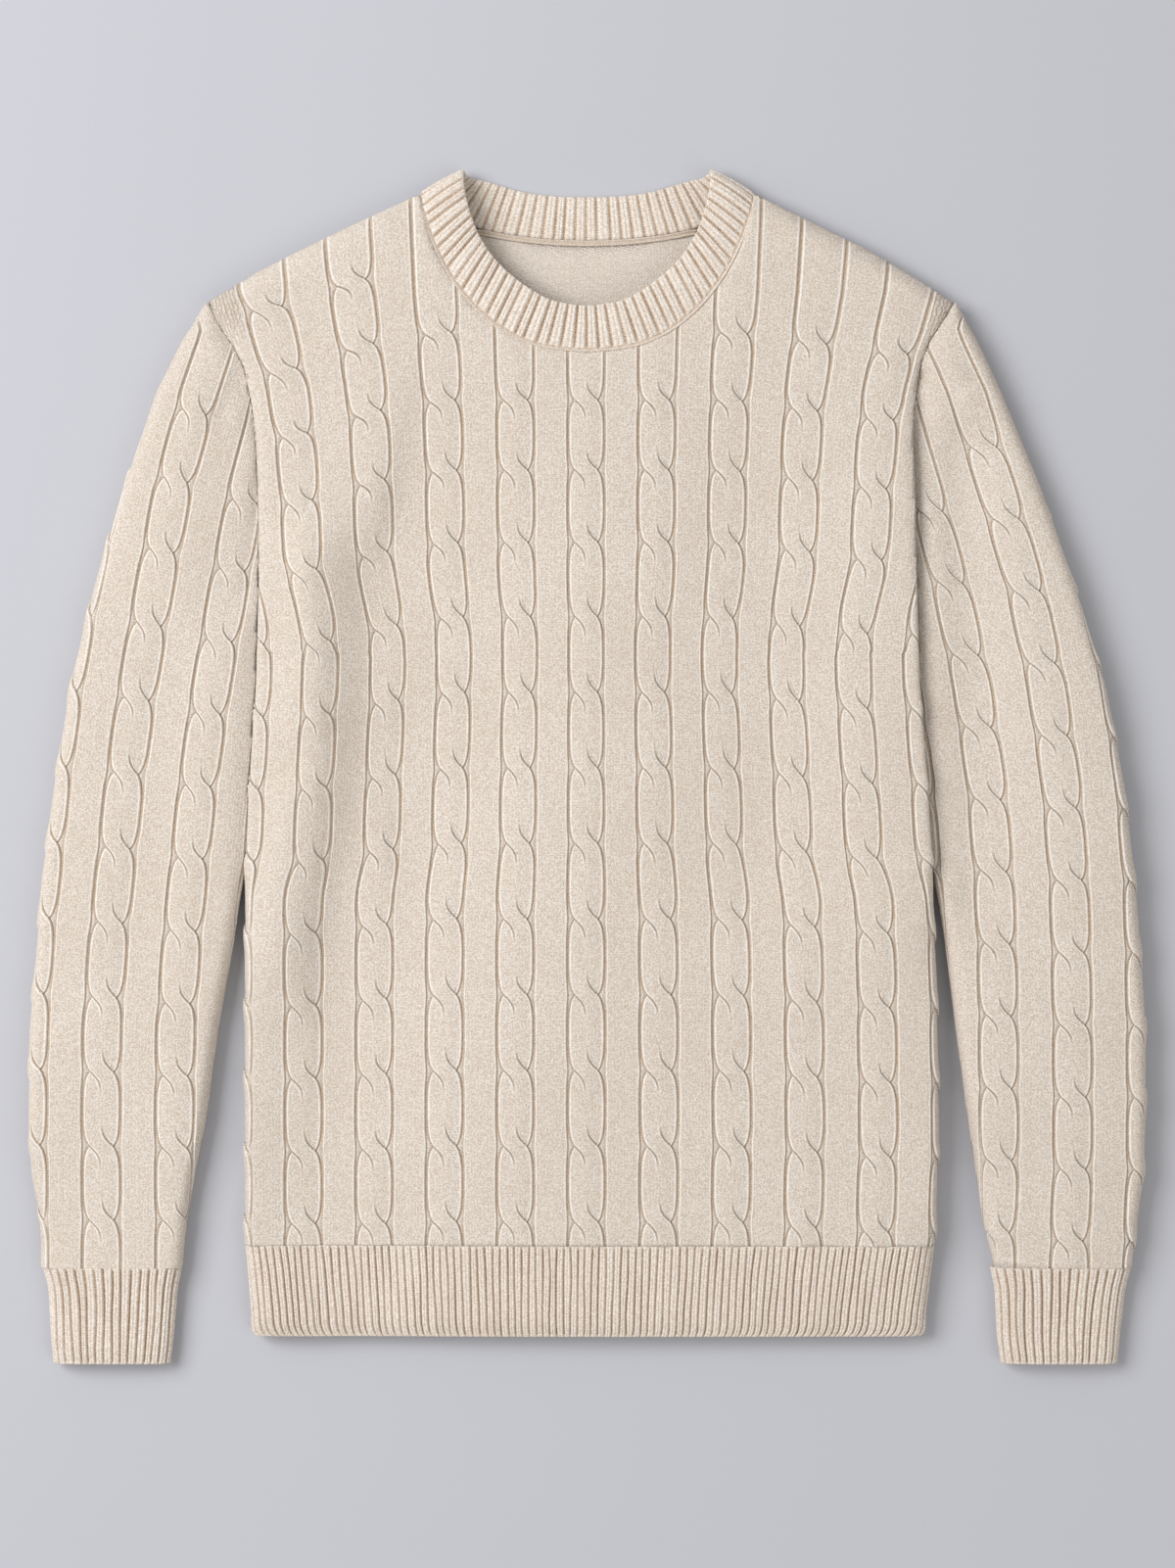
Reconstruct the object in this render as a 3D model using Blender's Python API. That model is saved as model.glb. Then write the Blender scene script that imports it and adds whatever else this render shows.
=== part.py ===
"""Cable knit crew-neck sweater, laid front up on a flat surface.

Frame: +X to the wearer's left, +Y towards the collar, +Z up, z = 0 is the surface it lies on.
Sizes are in millimetres until a mesh is made; MM turns them into metres.
Fabric runs in columns (wales, counted in cable pitches from the middle) and rows (counted in
cable crossings from the hem), and each piece maps its columns and rows onto its laid shape.
"""

import bmesh
import bpy
import numpy as np

MM = 0.001

# Cloth
WALL = 3.8                # ground fabric
CHANNEL_DEPTH = 1.6       # purl channels beside each cable
CABLE_RISE = 0.5          # cable crest above the ground
SEAM_GAP = 0.3
UNDERARM_SEAM_GAP = 0.8
CURVED_SEAM_GAP = 1.0     # where two differently sampled curves meet

# Cable, as shares of one pitch across and of one repeat along
CHANNEL_HALF = 0.285
BELLY_HALF = 0.245
CROSSING_HALF = 0.165
ROW_PHASES = (0.0, 0.3, 0.7)

# Body
BODY_CABLES = 5           # cable columns each side of the middle one, the last on the side fold
BODY_MIDDLE_X = -0.4
BODY_PITCH = 42.6
BODY_TOP = 19.5           # laid thickness without its crown
BODY_CROWN = 2.5
SIDE_Z = 9.0              # height of the side fold
SIDE_ROUND = 13.0
HEM_JOINT_Y = -293.1
FIRST_CROSSING_Y = -278.1
BODY_REPEAT = 46.2
TIGHTENING = 0.72         # per crossing squared, over the yoke
TIGHT_FROM = 8
BODY_LAST_CROSSING = 15
FAN_HEIGHTS = (100.0, 170.0, 200.0, 230.0, 260.0, 290.0, 350.0)
FAN = (0.06, 0.30, 0.45, 0.72, 1.20, 1.68, 2.2)

# Side and armhole edges: height, left edge x, right edge x
BODY_EDGES = np.array([
    (-348.9, -206.0, 208.0),
    (-335.0, -206.0, 208.0),
    (-310.0, -208.0, 211.0),
    (-293.1, -209.7, 213.3),
    (-220.5, -209.7, 215.7),
    (-130.5, -209.7, 214.2),
    (-70.5, -209.4, 211.5),
    (-10.5, -206.7, 207.9),
    (49.5, -202.5, 203.1),
    (109.5, -200.7, 201.3),
    (169.5, -201.3, 200.1),
    (195.9, -202.5, 198.9),
    (218.7, -204.6, 199.5),
    (243.9, -209.7, 203.4),
    (259.5, -218.1, 209.1),
    (271.5, -226.5, 216.9),
    (284.7, -231.9, 225.3),
    (360.0, -231.9, 225.3),
])
UNDERARM_Y = 70.0
UNDERARM_FLAT = (-30.0, 40.0)  # from the underarm: where the bottom edge leaves the side fold
PITCH_SETTLED = 60.0      # above the underarm, where cables keep their own pitch
ARMHOLE_SETTLED_Y = 175.0  # above this the armhole seam lies near the top of the cloth
ARMHOLE_DROP = 3.0
ARMHOLE_TIGHTER = 4.0     # how much sharper the armhole edge rounds off than the side

# Shoulder and neck lines: x, height
NECK_CORNER_X = 103.0
SHOULDER_LEFT = [(-231.9, 284.7), (-201.3, 303.3), (-173.1, 317.7), (-143.1, 332.1),
                 (-NECK_CORNER_X, 350.5)]
SHOULDER_RIGHT = [(NECK_CORNER_X, 350.5), (140.1, 332.1), (169.5, 317.7), (194.7, 303.3),
                  (225.3, 283.5)]
FRONT_NECK_HALF = [
    (102.0, 350.0), (99.4, 334.8), (93.5, 316.3), (83.4, 298.1), (69.0, 280.9), (52.2, 267.4),
    (33.6, 258.6), (16.9, 255.2), (0.0, 254.0),
]
BACK_NECK_HALF = [
    (102.0, 350.0), (93.0, 344.7), (81.0, 336.3), (65.1, 328.0), (46.8, 324.7), (23.4, 322.1),
    (0.0, 321.3),
]
SHOULDER_ROUND = 12.0
SHOULDER_FRONT_Z = 13.0   # outer height of the front's shoulder edge
SHOULDER_BACK_Z = 5.0     # outer height of the back's shoulder edge

# Sleeves: height, outer fold x, outer cable x, inner edge x
RIGHT_SLEEVE = np.array([
    (-306.0, -334.8, -296.7, -248.0),
    (-280.0, -334.5, -296.7, -245.5),
    (-250.0, -340.5, -296.7, -240.3),
    (-214.5, -342.3, -296.7, -233.1),
    (-160.5, -341.7, -295.8, -226.0),
    (-106.5, -336.9, -292.2, -216.3),
    (-70.5, -334.5, -288.6, -211.2),
    (-10.5, -326.4, -282.3, -208.2),
    (49.5, -316.5, -273.9, -204.0),
    (109.5, -302.1, -263.7, -201.9),
    (169.5, -284.7, -252.6, -202.4),
    (229.5, -264.0, -236.4, -207.2),
    (259.5, -249.0, -226.0, -219.2),
    (280.5, -236.4, -221.0, -231.0),
])
LEFT_SLEEVE = np.array([
    (-306.0, 334.0, 295.0, 249.5),
    (-280.0, 336.9, 295.5, 243.0),
    (-250.0, 341.1, 296.7, 238.5),
    (-214.5, 342.3, 296.7, 233.1),
    (-160.5, 342.3, 296.4, 226.0),
    (-106.5, 338.7, 295.5, 219.3),
    (-70.5, 335.7, 294.3, 213.3),
    (-10.5, 328.8, 289.5, 209.6),
    (49.5, 317.7, 280.8, 204.9),
    (109.5, 299.7, 267.9, 202.8),
    (169.5, 278.7, 250.8, 201.6),
    (229.5, 254.0, 231.9, 202.0),
    (259.5, 240.0, 218.0, 210.3),
    (280.5, 228.0, 212.0, 223.0),
])
SLEEVE_PITCH = 45.0
SLEEVE_TOP = 20.0
SLEEVE_CROWN = 3.0
SLEEVE_SIDE_Z = 9.5
SLEEVE_ROUND = 15.0
SLEEVE_TIP_Y = 281.0
CUFF_JOINT_Y = -306.9
SLEEVE_NARROW = (0.55, 60.0)  # share of the full height at no width, width over which it is gained
SLEEVE_CROWN_WIDTH = 90.0
SLEEVE_TAPER = (-300.0, -200.0)  # heights between which the sleeve rises from the cuff
SLEEVE_CUFF_DROP = 3.5
# First crossing height, repeat, taper, lag of each further cable column per crossing and at the cuff
RIGHT_SLEEVE_ROWS = (-277.5, 45.6, 0.78, 1.44, 0.0)
LEFT_SLEEVE_ROWS = (-290.1, 44.1, 0.0, 0.0, -6.0)

# Ribs
HEM_BOTTOM_Y = -348.9
HEM_LIP_Y = -340.0
HEM_RIBS = 97
HEM_TOP = 17.5
HEM_LIP_DROP = 2.5
HEM_JOINT_DROP = 0.6
CUFF_BOTTOM_Y = -366.0
CUFF_RIBS = 17
CUFF_TOP = 15.0
CUFF_MOUTH_TOP = 13.5
CUFF_JOINT_TOP = 15.8
CUFF_LIP = 6.0
CUFF_MIDDLE_Y = -330.0
CUFF_CROWN = 1.5
CUFF_ROUND = 11.0
RIB_DEPTH = 1.5
RIB_WALL = 3.4
# Cuffs: height, outer fold x, inner fold x
RIGHT_CUFF = np.array([(-366.0, -327.5, -255.5), (-350.0, -329.0, -253.5), (-320.0, -330.5, -251.0),
                       (-306.9, -334.0, -248.3)])
LEFT_CUFF = np.array([(-366.0, 325.5, 254.0), (-350.0, 327.0, 251.5), (-320.0, 330.5, 250.0),
                      (-306.9, 334.0, 247.0)])

# Neckband stations on the +X half, front middle to back middle:
# seam x, seam y, seam z, rim x, rim y, rim z, on the band's outer face
NECKBAND = np.array([
    (0.0, 255.2, 18.6, 0.0, 281.8, 19.6),
    (16.9, 256.4, 18.6, 12.0, 282.9, 19.6),
    (33.6, 259.8, 18.6, 24.0, 286.1, 19.6),
    (51.6, 268.6, 18.6, 39.0, 295.0, 19.6),
    (67.8, 282.2, 18.5, 54.0, 308.0, 19.4),
    (81.5, 299.4, 18.2, 64.5, 322.5, 19.2),
    (91.3, 317.6, 17.8, 70.6, 337.0, 19.0),
    (97.8, 335.3, 16.8, 74.4, 352.0, 18.4),
    (100.6, 345.0, 14.2, 75.6, 361.5, 16.4),
    (101.4, 352.6, 9.6, 75.6, 366.4, 10.6),
    (98.0, 349.5, 4.4, 74.5, 364.8, 4.6),
    (91.0, 345.5, 1.0, 70.5, 362.0, 1.0),
    (80.0, 338.0, 0.2, 63.5, 360.6, 0.2),
    (64.5, 330.0, 0.0, 53.0, 357.6, 0.0),
    (46.4, 326.4, 0.0, 39.0, 353.7, 0.0),
    (23.2, 323.6, 0.0, 20.2, 351.1, 0.0),
    (0.0, 322.8, 0.0, 0.0, 350.6, 0.0),
])
NECK_RIBS = 72
NECK_BOW = 1.4            # the band's crown between its seam and its rim

TAPE_HALF_WIDTH = 1.8
TAPE_THICKNESS = 1.4
TAPE_REACH = 64.0
TAPE_LIFT = 0.35

YARN = (0.70, 0.61, 0.52, 1.0)


def clear_scene():
    """Removes every object of the startup scene."""
    for item in list(bpy.data.objects):
        bpy.data.objects.remove(item, do_unlink=True)


def knit_material(name, shade):
    """A matt wool colour; shade scales it a little so that pieces read apart."""
    material = bpy.data.materials.new(name)
    material.use_nodes = True
    shader = material.node_tree.nodes["Principled BSDF"]
    shader.inputs["Base Color"].default_value = (
        YARN[0] * shade, YARN[1] * shade, YARN[2] * shade, 1.0)
    shader.inputs["Roughness"].default_value = 0.92
    shader.inputs["Metallic"].default_value = 0.0
    return material


# ---------------------------------------------------------------- knit relief

def cable_profile(phase):
    """One cable across its pitch at a phase of its repeat, as (place in pitches, height) pairs.

    The over strand runs from upper left to lower right, so its side stands prouder: the left
    side above a crossing, the right side below it.
    """
    turn = phase - round(phase)
    open_share = min(abs(turn) / ROW_PHASES[1], 1.0)
    half = CROSSING_HALF + (BELLY_HALF - CROSSING_HALF) * open_share
    lean = np.sign(turn) * open_share
    shoulder = 0.62 * half
    left = CABLE_RISE * (0.1 + 0.7 * max(lean, 0.0)) - 0.25 * max(-lean, 0.0)
    right = CABLE_RISE * (0.1 + 0.7 * max(-lean, 0.0)) - 0.25 * max(lean, 0.0)
    crest = CABLE_RISE * (1.3 - 1.9 * open_share)
    return [
        (-CHANNEL_HALF, 0.0),
        (-half, -CHANNEL_DEPTH),
        (-shoulder, left),
        (0.04 * lean, crest),
        (shoulder, right),
        (half, -CHANNEL_DEPTH),
        (CHANNEL_HALF, 0.0),
    ]


def columns_between(first, last):
    """Cable column numbers and knot numbers for a run of cables, as (cable, knot) pairs."""
    return [(cable, knot) for cable in range(first, last + 1) for knot in range(7)]


def column_at(pair, phase):
    """Column position in pitches and relief height of one (cable, knot) pair at a phase."""
    cable, knot = pair
    place, height = cable_profile(phase)[knot]
    return cable + place, height


# ---------------------------------------------------------------- sections

def edge_drop(distance, reach, ellipse_share):
    """How far down, from 0 to 1, a rounded edge is at a distance in from it."""
    inwards = 1.0 - np.clip(distance / reach, 0.0, 1.0)
    ellipse = 1.0 - np.sqrt(np.clip(1.0 - inwards ** 2, 0.0, 1.0))
    return ellipse_share * ellipse + (1.0 - ellipse_share) * inwards ** 2


class Section:
    """The outer line of one cloth layer across the garment, read by distance along it."""

    def __init__(self, start, end, top, crown, start_edge, end_edge):
        """start, end: x of the edges. An edge is (height, round-off reach, ellipse share)."""
        share = 0.5 * (1.0 - np.cos(np.linspace(0.0, np.pi, 121)))
        width = abs(end - start)
        self.x = start + (end - start) * share
        from_start = share * width
        from_end = width - from_start
        level = top + crown * 4.0 * share * (1.0 - share)
        drop_start = edge_drop(from_start, min(start_edge[1], 0.48 * width), start_edge[2])
        drop_end = edge_drop(from_end, min(end_edge[1], 0.48 * width), end_edge[2])
        self.z = level - (level - start_edge[0]) * drop_start - (level - end_edge[0]) * drop_end
        steps = np.hypot(np.diff(self.x), np.diff(self.z))
        self.along = np.concatenate([[0.0], np.cumsum(steps)])
        side = 1.0 if top > max(start_edge[0], end_edge[0]) else -1.0
        slope_x = np.gradient(self.x, self.along)
        slope_z = np.gradient(self.z, self.along)
        normal = np.stack([-slope_z, slope_x], axis=1) * np.sign(end - start) * side
        limit = np.interp(share, [0.0, 0.5, 1.0], [start_edge[2], 1.0, end_edge[2]])
        normal[:, 0] *= np.where(limit > 0.95, 1.0, 0.5 + 0.4 * limit)
        self.normal = normal / np.linalg.norm(normal, axis=1)[:, None]
        for edge, place in ((start_edge, 0), (end_edge, -1)):
            if edge[2] > 0.95 and abs(edge[0] - top) > WALL:
                self.normal[place] = (np.sign(self.x[place] - self.x[60]), 0.0)

    def length_at(self, x):
        """Distance along the line at a given x."""
        if self.x[-1] > self.x[0]:
            return np.interp(x, self.x, self.along)
        return np.interp(-x, -self.x, self.along)

    def at(self, distance, height=0.0):
        """(x, z) at a distance along the line, moved out by height."""
        distance = min(max(distance, 0.0), self.along[-1])
        found = [np.interp(distance, self.along, line) for line in
                 (self.x, self.z, self.normal[:, 0], self.normal[:, 1])]
        size = np.hypot(found[2], found[3])
        return found[0] + height * found[2] / size, found[1] + height * found[3] / size


def settle(height, low, high):
    """A smooth 0 to 1 step between two heights."""
    share = np.clip((height - low) / (high - low), 0.0, 1.0)
    return share * share * (3.0 - 2.0 * share)


# ---------------------------------------------------------------- meshes

class Builder:
    """Collects triangles and makes one welded, closed mesh object of them."""

    def __init__(self):
        self.points = []
        self.faces = []

    def grid(self, points, flip):
        """Adds a grid of points as quads; collapsed edges are dropped at the weld."""
        rows, columns = len(points), len(points[0])
        first = len(self.points)
        for row in points:
            self.points.extend(row)
        for row in range(rows - 1):
            for column in range(columns - 1):
                a = first + row * columns + column
                quad = (a, a + 1, a + columns + 1, a + columns)
                self.faces.append(quad[::-1] if flip else quad)

    def strip(self, outer, inner, shared, flip):
        """Joins an outer edge line to a coarser inner one; shared gives the outer index of each
        inner point."""
        first = len(self.points)
        self.points.extend(outer)
        second = len(self.points)
        self.points.extend(inner)
        for step in range(len(shared) - 1):
            start, end = shared[step], shared[step + 1]
            middle = (start + end) // 2
            near, far = second + step, second + step + 1
            triangles = [(first + index, first + index + 1, near) for index in range(start, middle)]
            triangles.append((near, first + middle, far))
            triangles += [(first + index, first + index + 1, far) for index in range(middle, end)]
            for triangle in triangles:
                self.faces.append(triangle[::-1] if flip else triangle)

    def make(self, name, material, weld=0.02):
        """The closed mesh object, in metres, with its faces turned outwards."""
        mesh = bpy.data.meshes.new(name)
        model = bmesh.new()
        made = [model.verts.new(tuple(MM * value for value in point)) for point in self.points]
        for face in self.faces:
            model.faces.new([made[index] for index in face])
        bmesh.ops.remove_doubles(model, verts=model.verts[:], dist=weld * MM)
        bmesh.ops.dissolve_degenerate(model, edges=model.edges[:], dist=0.5 * weld * MM)
        bmesh.ops.triangulate(model, faces=model.faces[:])
        bmesh.ops.recalc_face_normals(model, faces=model.faces[:])
        if model.calc_volume(signed=True) < 0.0:
            bmesh.ops.reverse_faces(model, faces=model.faces[:])
        model.to_mesh(mesh)
        model.free()
        mesh.materials.append(material)
        mesh.shade_smooth()
        mesh.set_sharp_from_angle(angle=np.radians(50.0))
        made_object = bpy.data.objects.new(name, mesh)
        bpy.context.scene.collection.objects.link(made_object)
        return made_object


def cloth_grid(rows, columns, cell):
    """Points of a grid whose columns end at an edge of the cloth.

    cell gives a point, whether its column ends there, and whether the row ends there. An ended
    column repeats its last point, the columns past a row's end share one point, and the weld
    drops what collapses.
    """
    stopped = {}
    grid = []
    for row in rows:
        line, past = [], []
        for column in columns:
            if column not in stopped:
                point, reached, outside = cell(row, column)
                if reached:
                    stopped[column] = point, outside
            else:
                point, outside = stopped[column]
            line.append(point)
            past.append(outside)
        if past[0] and not all(past):
            shared = past.index(False) - 1
            line[:shared] = [line[shared]] * shared
        for index in range(1, len(line)):
            if past[index] and past[index - 1]:
                line[index] = line[index - 1]
        grid.append(line)
    return grid


def closed_cloth(name, outer, inner, inner_rows, inner_columns, material):
    """A wall of cloth: a fine outer grid, a plain inner grid on some of its rows and columns,
    and the cut edges between them."""
    builder = Builder()
    builder.grid(outer, False)
    builder.grid(inner, True)
    rows, columns = inner_rows, inner_columns
    builder.strip(outer[0], inner[0], columns, True)
    builder.strip(outer[-1], inner[-1], columns, False)
    left = [row[0] for row in outer]
    right = [row[-1] for row in outer]
    builder.strip(left, [row[0] for row in inner], rows, False)
    builder.strip(right, [row[-1] for row in inner], rows, True)
    return builder.make(name, material)


# ---------------------------------------------------------------- body

def body_edge(height, side):
    """x of the body's edge at a height, side -1 for the wearer's right and 1 for the left."""
    return np.interp(height, BODY_EDGES[:, 0], BODY_EDGES[:, 1 if side < 0 else 2])


def edge_height(height):
    """Height above the surface of the front's outer edge: the side fold, then the armhole."""
    share = settle(height, UNDERARM_Y, ARMHOLE_SETTLED_Y)
    return SIDE_Z + SEAM_GAP / 2 + share * (BODY_TOP - ARMHOLE_DROP - SIDE_Z)


def low_edge(height, fold_z, reach):
    """The edge of a bottom layer: up at the side fold, flat on the surface at the armhole."""
    share = 1.0 - settle(height, UNDERARM_Y + UNDERARM_FLAT[0], UNDERARM_Y + UNDERARM_FLAT[1])
    return fold_z * share, reach, share


def front_section(height):
    """The front's outer line across the body at a height."""
    share = 1.0 - settle(height, UNDERARM_Y, ARMHOLE_SETTLED_Y)
    edge = (edge_height(height), SIDE_ROUND - ARMHOLE_TIGHTER * (1.0 - share), share)
    return Section(body_edge(height, -1), body_edge(height, 1), BODY_TOP, BODY_CROWN, edge, edge)


def back_section(height):
    """The back's outer line, flat on the surface between its rounded sides."""
    edge = low_edge(height, SIDE_Z - SEAM_GAP / 2, SIDE_ROUND)
    return Section(body_edge(height, -1), body_edge(height, 1), 0.0, 0.0, edge, edge)


def top_line(x, neck_half):
    """Height of the shoulder and neck line over x."""
    left_neck = [(-a, b) for a, b in neck_half]
    right_neck = [(a, b) for a, b in reversed(neck_half)][1:]
    line = SHOULDER_LEFT + left_neck + right_neck + SHOULDER_RIGHT
    return np.interp(x, [p[0] for p in line], [p[1] for p in line])


def crossing_height(row):
    """Height of a row, counted in crossings from the hem, on the middle cables."""
    return FIRST_CROSSING_Y + BODY_REPEAT * row - TIGHTENING * max(0.0, row - TIGHT_FROM) ** 2


def body_lag(column, row):
    """How much lower a row lies on the outer cables than in the middle."""
    cables = (-5, -4, -3, -2, 2, 3, 4, 5)
    at_hem = np.interp(column, cables, (1.8, 1.8, 2.0, 0.0, 0.0, 3.0, 6.0, 6.0))
    each_row = np.interp(column, cables, (1.9, 1.9, 0.5, 0.0, 0.0, 0.25, 0.6, 0.6))
    return at_hem + each_row * max(row, 0.0)


def body_span(section, height, column):
    """Distance along a section at which a column lies."""
    middle = section.length_at(BODY_MIDDLE_X)
    fan = np.interp(height, FAN_HEIGHTS, FAN)
    total = middle if column < 0 else section.along[-1] - middle
    if height < UNDERARM_Y:
        return middle + column / BODY_CABLES * total
    blend = settle(height, UNDERARM_Y, UNDERARM_Y + PITCH_SETTLED)
    pitch = (1.0 - blend) * total / BODY_CABLES + blend * BODY_PITCH
    return middle + column * pitch + np.sign(column) * fan * column ** 2


def front_point(column, row, relief, depth):
    """A point of the front, and whether the column has reached the shoulder or neck line: on its
    outer face plus relief, or depth below the plain face."""
    height = max(crossing_height(row) - body_lag(column, row), HEM_JOINT_Y + SEAM_GAP / 2)
    if row <= HEM_ROW:
        height = HEM_JOINT_Y + SEAM_GAP / 2
    section = front_section(height)
    distance = body_span(section, height, column)
    x = section.at(distance)[0]
    limit = top_line(x, FRONT_NECK_HALF) - SEAM_GAP
    reached = height >= limit
    if reached:
        height = limit
        section = front_section(height)
        distance = section.length_at(x)
    if not 0.0 < distance < section.along[-1]:
        relief = 0.0
    x, z = section.at(distance, relief - depth)
    if abs(x) > NECK_CORNER_X:
        near = 1.0 - min(max((limit - height) / SHOULDER_ROUND, 0.0), 1.0)
        z -= near ** 2 * (section.at(distance)[1] - SHOULDER_FRONT_Z)
    return (x, height, z), reached, False


def body_rows(phases):
    """Row values from the hem joint to the shoulder."""
    rows = [HEM_ROW]
    for crossing in range(BODY_LAST_CROSSING):
        rows += [crossing + phase for phase in phases]
    return rows


HEM_ROW = (HEM_JOINT_Y - FIRST_CROSSING_Y) / BODY_REPEAT


def front_panel():
    """The cabled front."""
    rows = body_rows(ROW_PHASES)
    pairs = columns_between(-BODY_CABLES, BODY_CABLES)[3:-3]
    inner_columns = [index for index, pair in enumerate(pairs) if pair[1] in (0, 6)]
    inner_columns = [0] + inner_columns + [len(pairs) - 1]
    inner_rows = list(range(0, len(rows), 3))
    if inner_rows[-1] != len(rows) - 1:
        inner_rows.append(len(rows) - 1)

    def cell(row, pair, inner):
        column, relief = column_at(pair, row)
        column = min(max(column, -BODY_CABLES), BODY_CABLES)
        if inner:
            return front_point(column, row, 0.0, WALL)
        return front_point(column, row, relief, 0.0)

    outer = cloth_grid(rows, pairs, lambda row, pair: cell(row, pair, False))
    inner = cloth_grid([rows[row] for row in inner_rows], [pairs[column] for column in inner_columns],
                       lambda row, pair: cell(row, pair, True))
    return closed_cloth("front_panel", outer, inner, inner_rows, inner_columns,
                        knit_material("knit_front", 1.0))


BACK_ROWS = (-180.0, -70.5, 10.0, 45.0, 65.0, 85.0, 105.0, 140.0, 169.5, 195.9, 218.7, 243.9,
             259.5, 271.5, 284.7, 302.0, 325.0, 350.0)
BACK_SIDE_SHARES = (0.0, 0.012, 0.032, 0.12)
BACK_WIDTH = 420.0        # width that turns an x of the neck into a share of the back
BACK_NECK_REACH = 102.0
PLAIN_WALL = WALL - 0.4   # layers that carry no relief


def back_panel():
    """The back, plain where it rests on the surface."""
    heights = [HEM_JOINT_Y + SEAM_GAP / 2, *BACK_ROWS]
    xs = np.linspace(-BACK_NECK_REACH, BACK_NECK_REACH, 9)

    def cell(height, share, depth):
        section = back_section(height)
        x = section.at(share * section.along[-1])[0]
        limit = top_line(x, BACK_NECK_HALF) - SEAM_GAP
        used = min(height, limit)
        section = back_section(used)
        distance = section.length_at(x) if used < height else share * section.along[-1]
        x, z = section.at(distance, -depth)
        if abs(x) > NECK_CORNER_X:
            near = 1.0 - min(max((limit - used) / SHOULDER_ROUND, 0.0), 1.0)
            z += near ** 2 * SHOULDER_BACK_Z
        return (x, used, z)

    shares = list(BACK_SIDE_SHARES)
    shares += [0.5 + x / BACK_WIDTH for x in xs]
    shares += [1.0 - share for share in reversed(BACK_SIDE_SHARES)]
    outer = [[cell(height, share, 0.0) for share in shares] for height in heights]
    inner = [[cell(height, share, PLAIN_WALL) for share in shares] for height in heights]
    every_row, every_column = list(range(len(heights))), list(range(len(shares)))
    return closed_cloth("back_panel", outer, inner, every_row, every_column,
                        knit_material("knit_back", 0.93))


def hem_rib(name, front):
    """Half of the ribbed hem: the front half is ribbed, the back half rests flat and plain."""
    heights = [HEM_BOTTOM_Y, HEM_LIP_Y, HEM_JOINT_Y - SEAM_GAP / 2]
    tops = [HEM_TOP - HEM_LIP_DROP, HEM_TOP, BODY_TOP - HEM_JOINT_DROP]
    steps = 2 * HEM_RIBS if front else 24
    inner_columns = list(range(0, steps + 1, 12 if front else 1))
    if inner_columns[-1] != steps:
        inner_columns.append(steps)

    def cell(index, step, inner):
        height, top = heights[index], tops[index]
        ends = (body_edge(height, -1), body_edge(height, 1))
        share = step / steps
        if front:
            edge = (SIDE_Z + SEAM_GAP / 2, SIDE_ROUND, 1.0)
            section = Section(ends[0], ends[1], top, BODY_CROWN, edge, edge)
            relief = 0.0 if step % 2 else -RIB_DEPTH
        else:
            edge = (SIDE_Z - SEAM_GAP / 2, SIDE_ROUND, 1.0)
            section = Section(ends[0], ends[1], 0.0, 0.0, edge, edge)
            share = 0.5 - 0.5 * np.cos(np.pi * share)
            relief = 0.0
        x, z = section.at(share * section.along[-1], -RIB_WALL if inner else relief)
        return (x, height, z)

    rows = list(range(len(heights)))
    outer = [[cell(row, step, False) for step in range(steps + 1)] for row in rows]
    inner = [[cell(row, step, True) for step in inner_columns] for row in rows]
    return closed_cloth(name, outer, inner, rows, inner_columns,
                        knit_material("rib_" + name, 0.97 if front else 0.9))


# ---------------------------------------------------------------- sleeves

def sleeve_line(table, height, column):
    """One of a sleeve table's columns at a height."""
    return np.interp(height, table[:, 0], table[:, column])


def sleeve_sections(table, height, side):
    """The sleeve's top line, from its inner edge to its outer fold, and its bottom line back."""
    inner_x = sleeve_line(table, height, 3)
    if height > UNDERARM_Y:
        inner_x = body_edge(height, side) + side * CURVED_SEAM_GAP
    outer_x = sleeve_line(table, height, 1)
    share = 1.0 - settle(height, UNDERARM_Y, ARMHOLE_SETTLED_Y)
    width = abs(outer_x - inner_x)
    gained = min(1.0, SLEEVE_NARROW[0] + width / SLEEVE_NARROW[1])
    top = SLEEVE_SIDE_Z + (SLEEVE_TOP - SLEEVE_SIDE_Z) * gained
    top -= (1.0 - settle(height, *SLEEVE_TAPER)) * SLEEVE_CUFF_DROP
    crown = SLEEVE_CROWN * min(width / SLEEVE_CROWN_WIDTH, 1.0)
    armhole = min(edge_height(height) - 1.0, top - 0.5)
    inner_top = SLEEVE_SIDE_Z + UNDERARM_SEAM_GAP / 2 + (1.0 - share) * (armhole - SLEEVE_SIDE_Z)
    fold_top = (SLEEVE_SIDE_Z + SEAM_GAP / 2, SLEEVE_ROUND, 1.0)
    over = Section(inner_x, outer_x, top, crown, (inner_top, SLEEVE_ROUND, share), fold_top)
    fold_under = (SLEEVE_SIDE_Z - SEAM_GAP / 2, SLEEVE_ROUND, 1.0)
    under = Section(outer_x, inner_x, 0.0, 0.0, fold_under,
                    low_edge(height, SLEEVE_SIDE_Z - UNDERARM_SEAM_GAP / 2, SLEEVE_ROUND))
    return over, under


UNDER_SHARES = (0.0, 0.03, 0.07, 0.14, 0.5, 0.86, 0.93, 0.97, 1.0)


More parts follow.
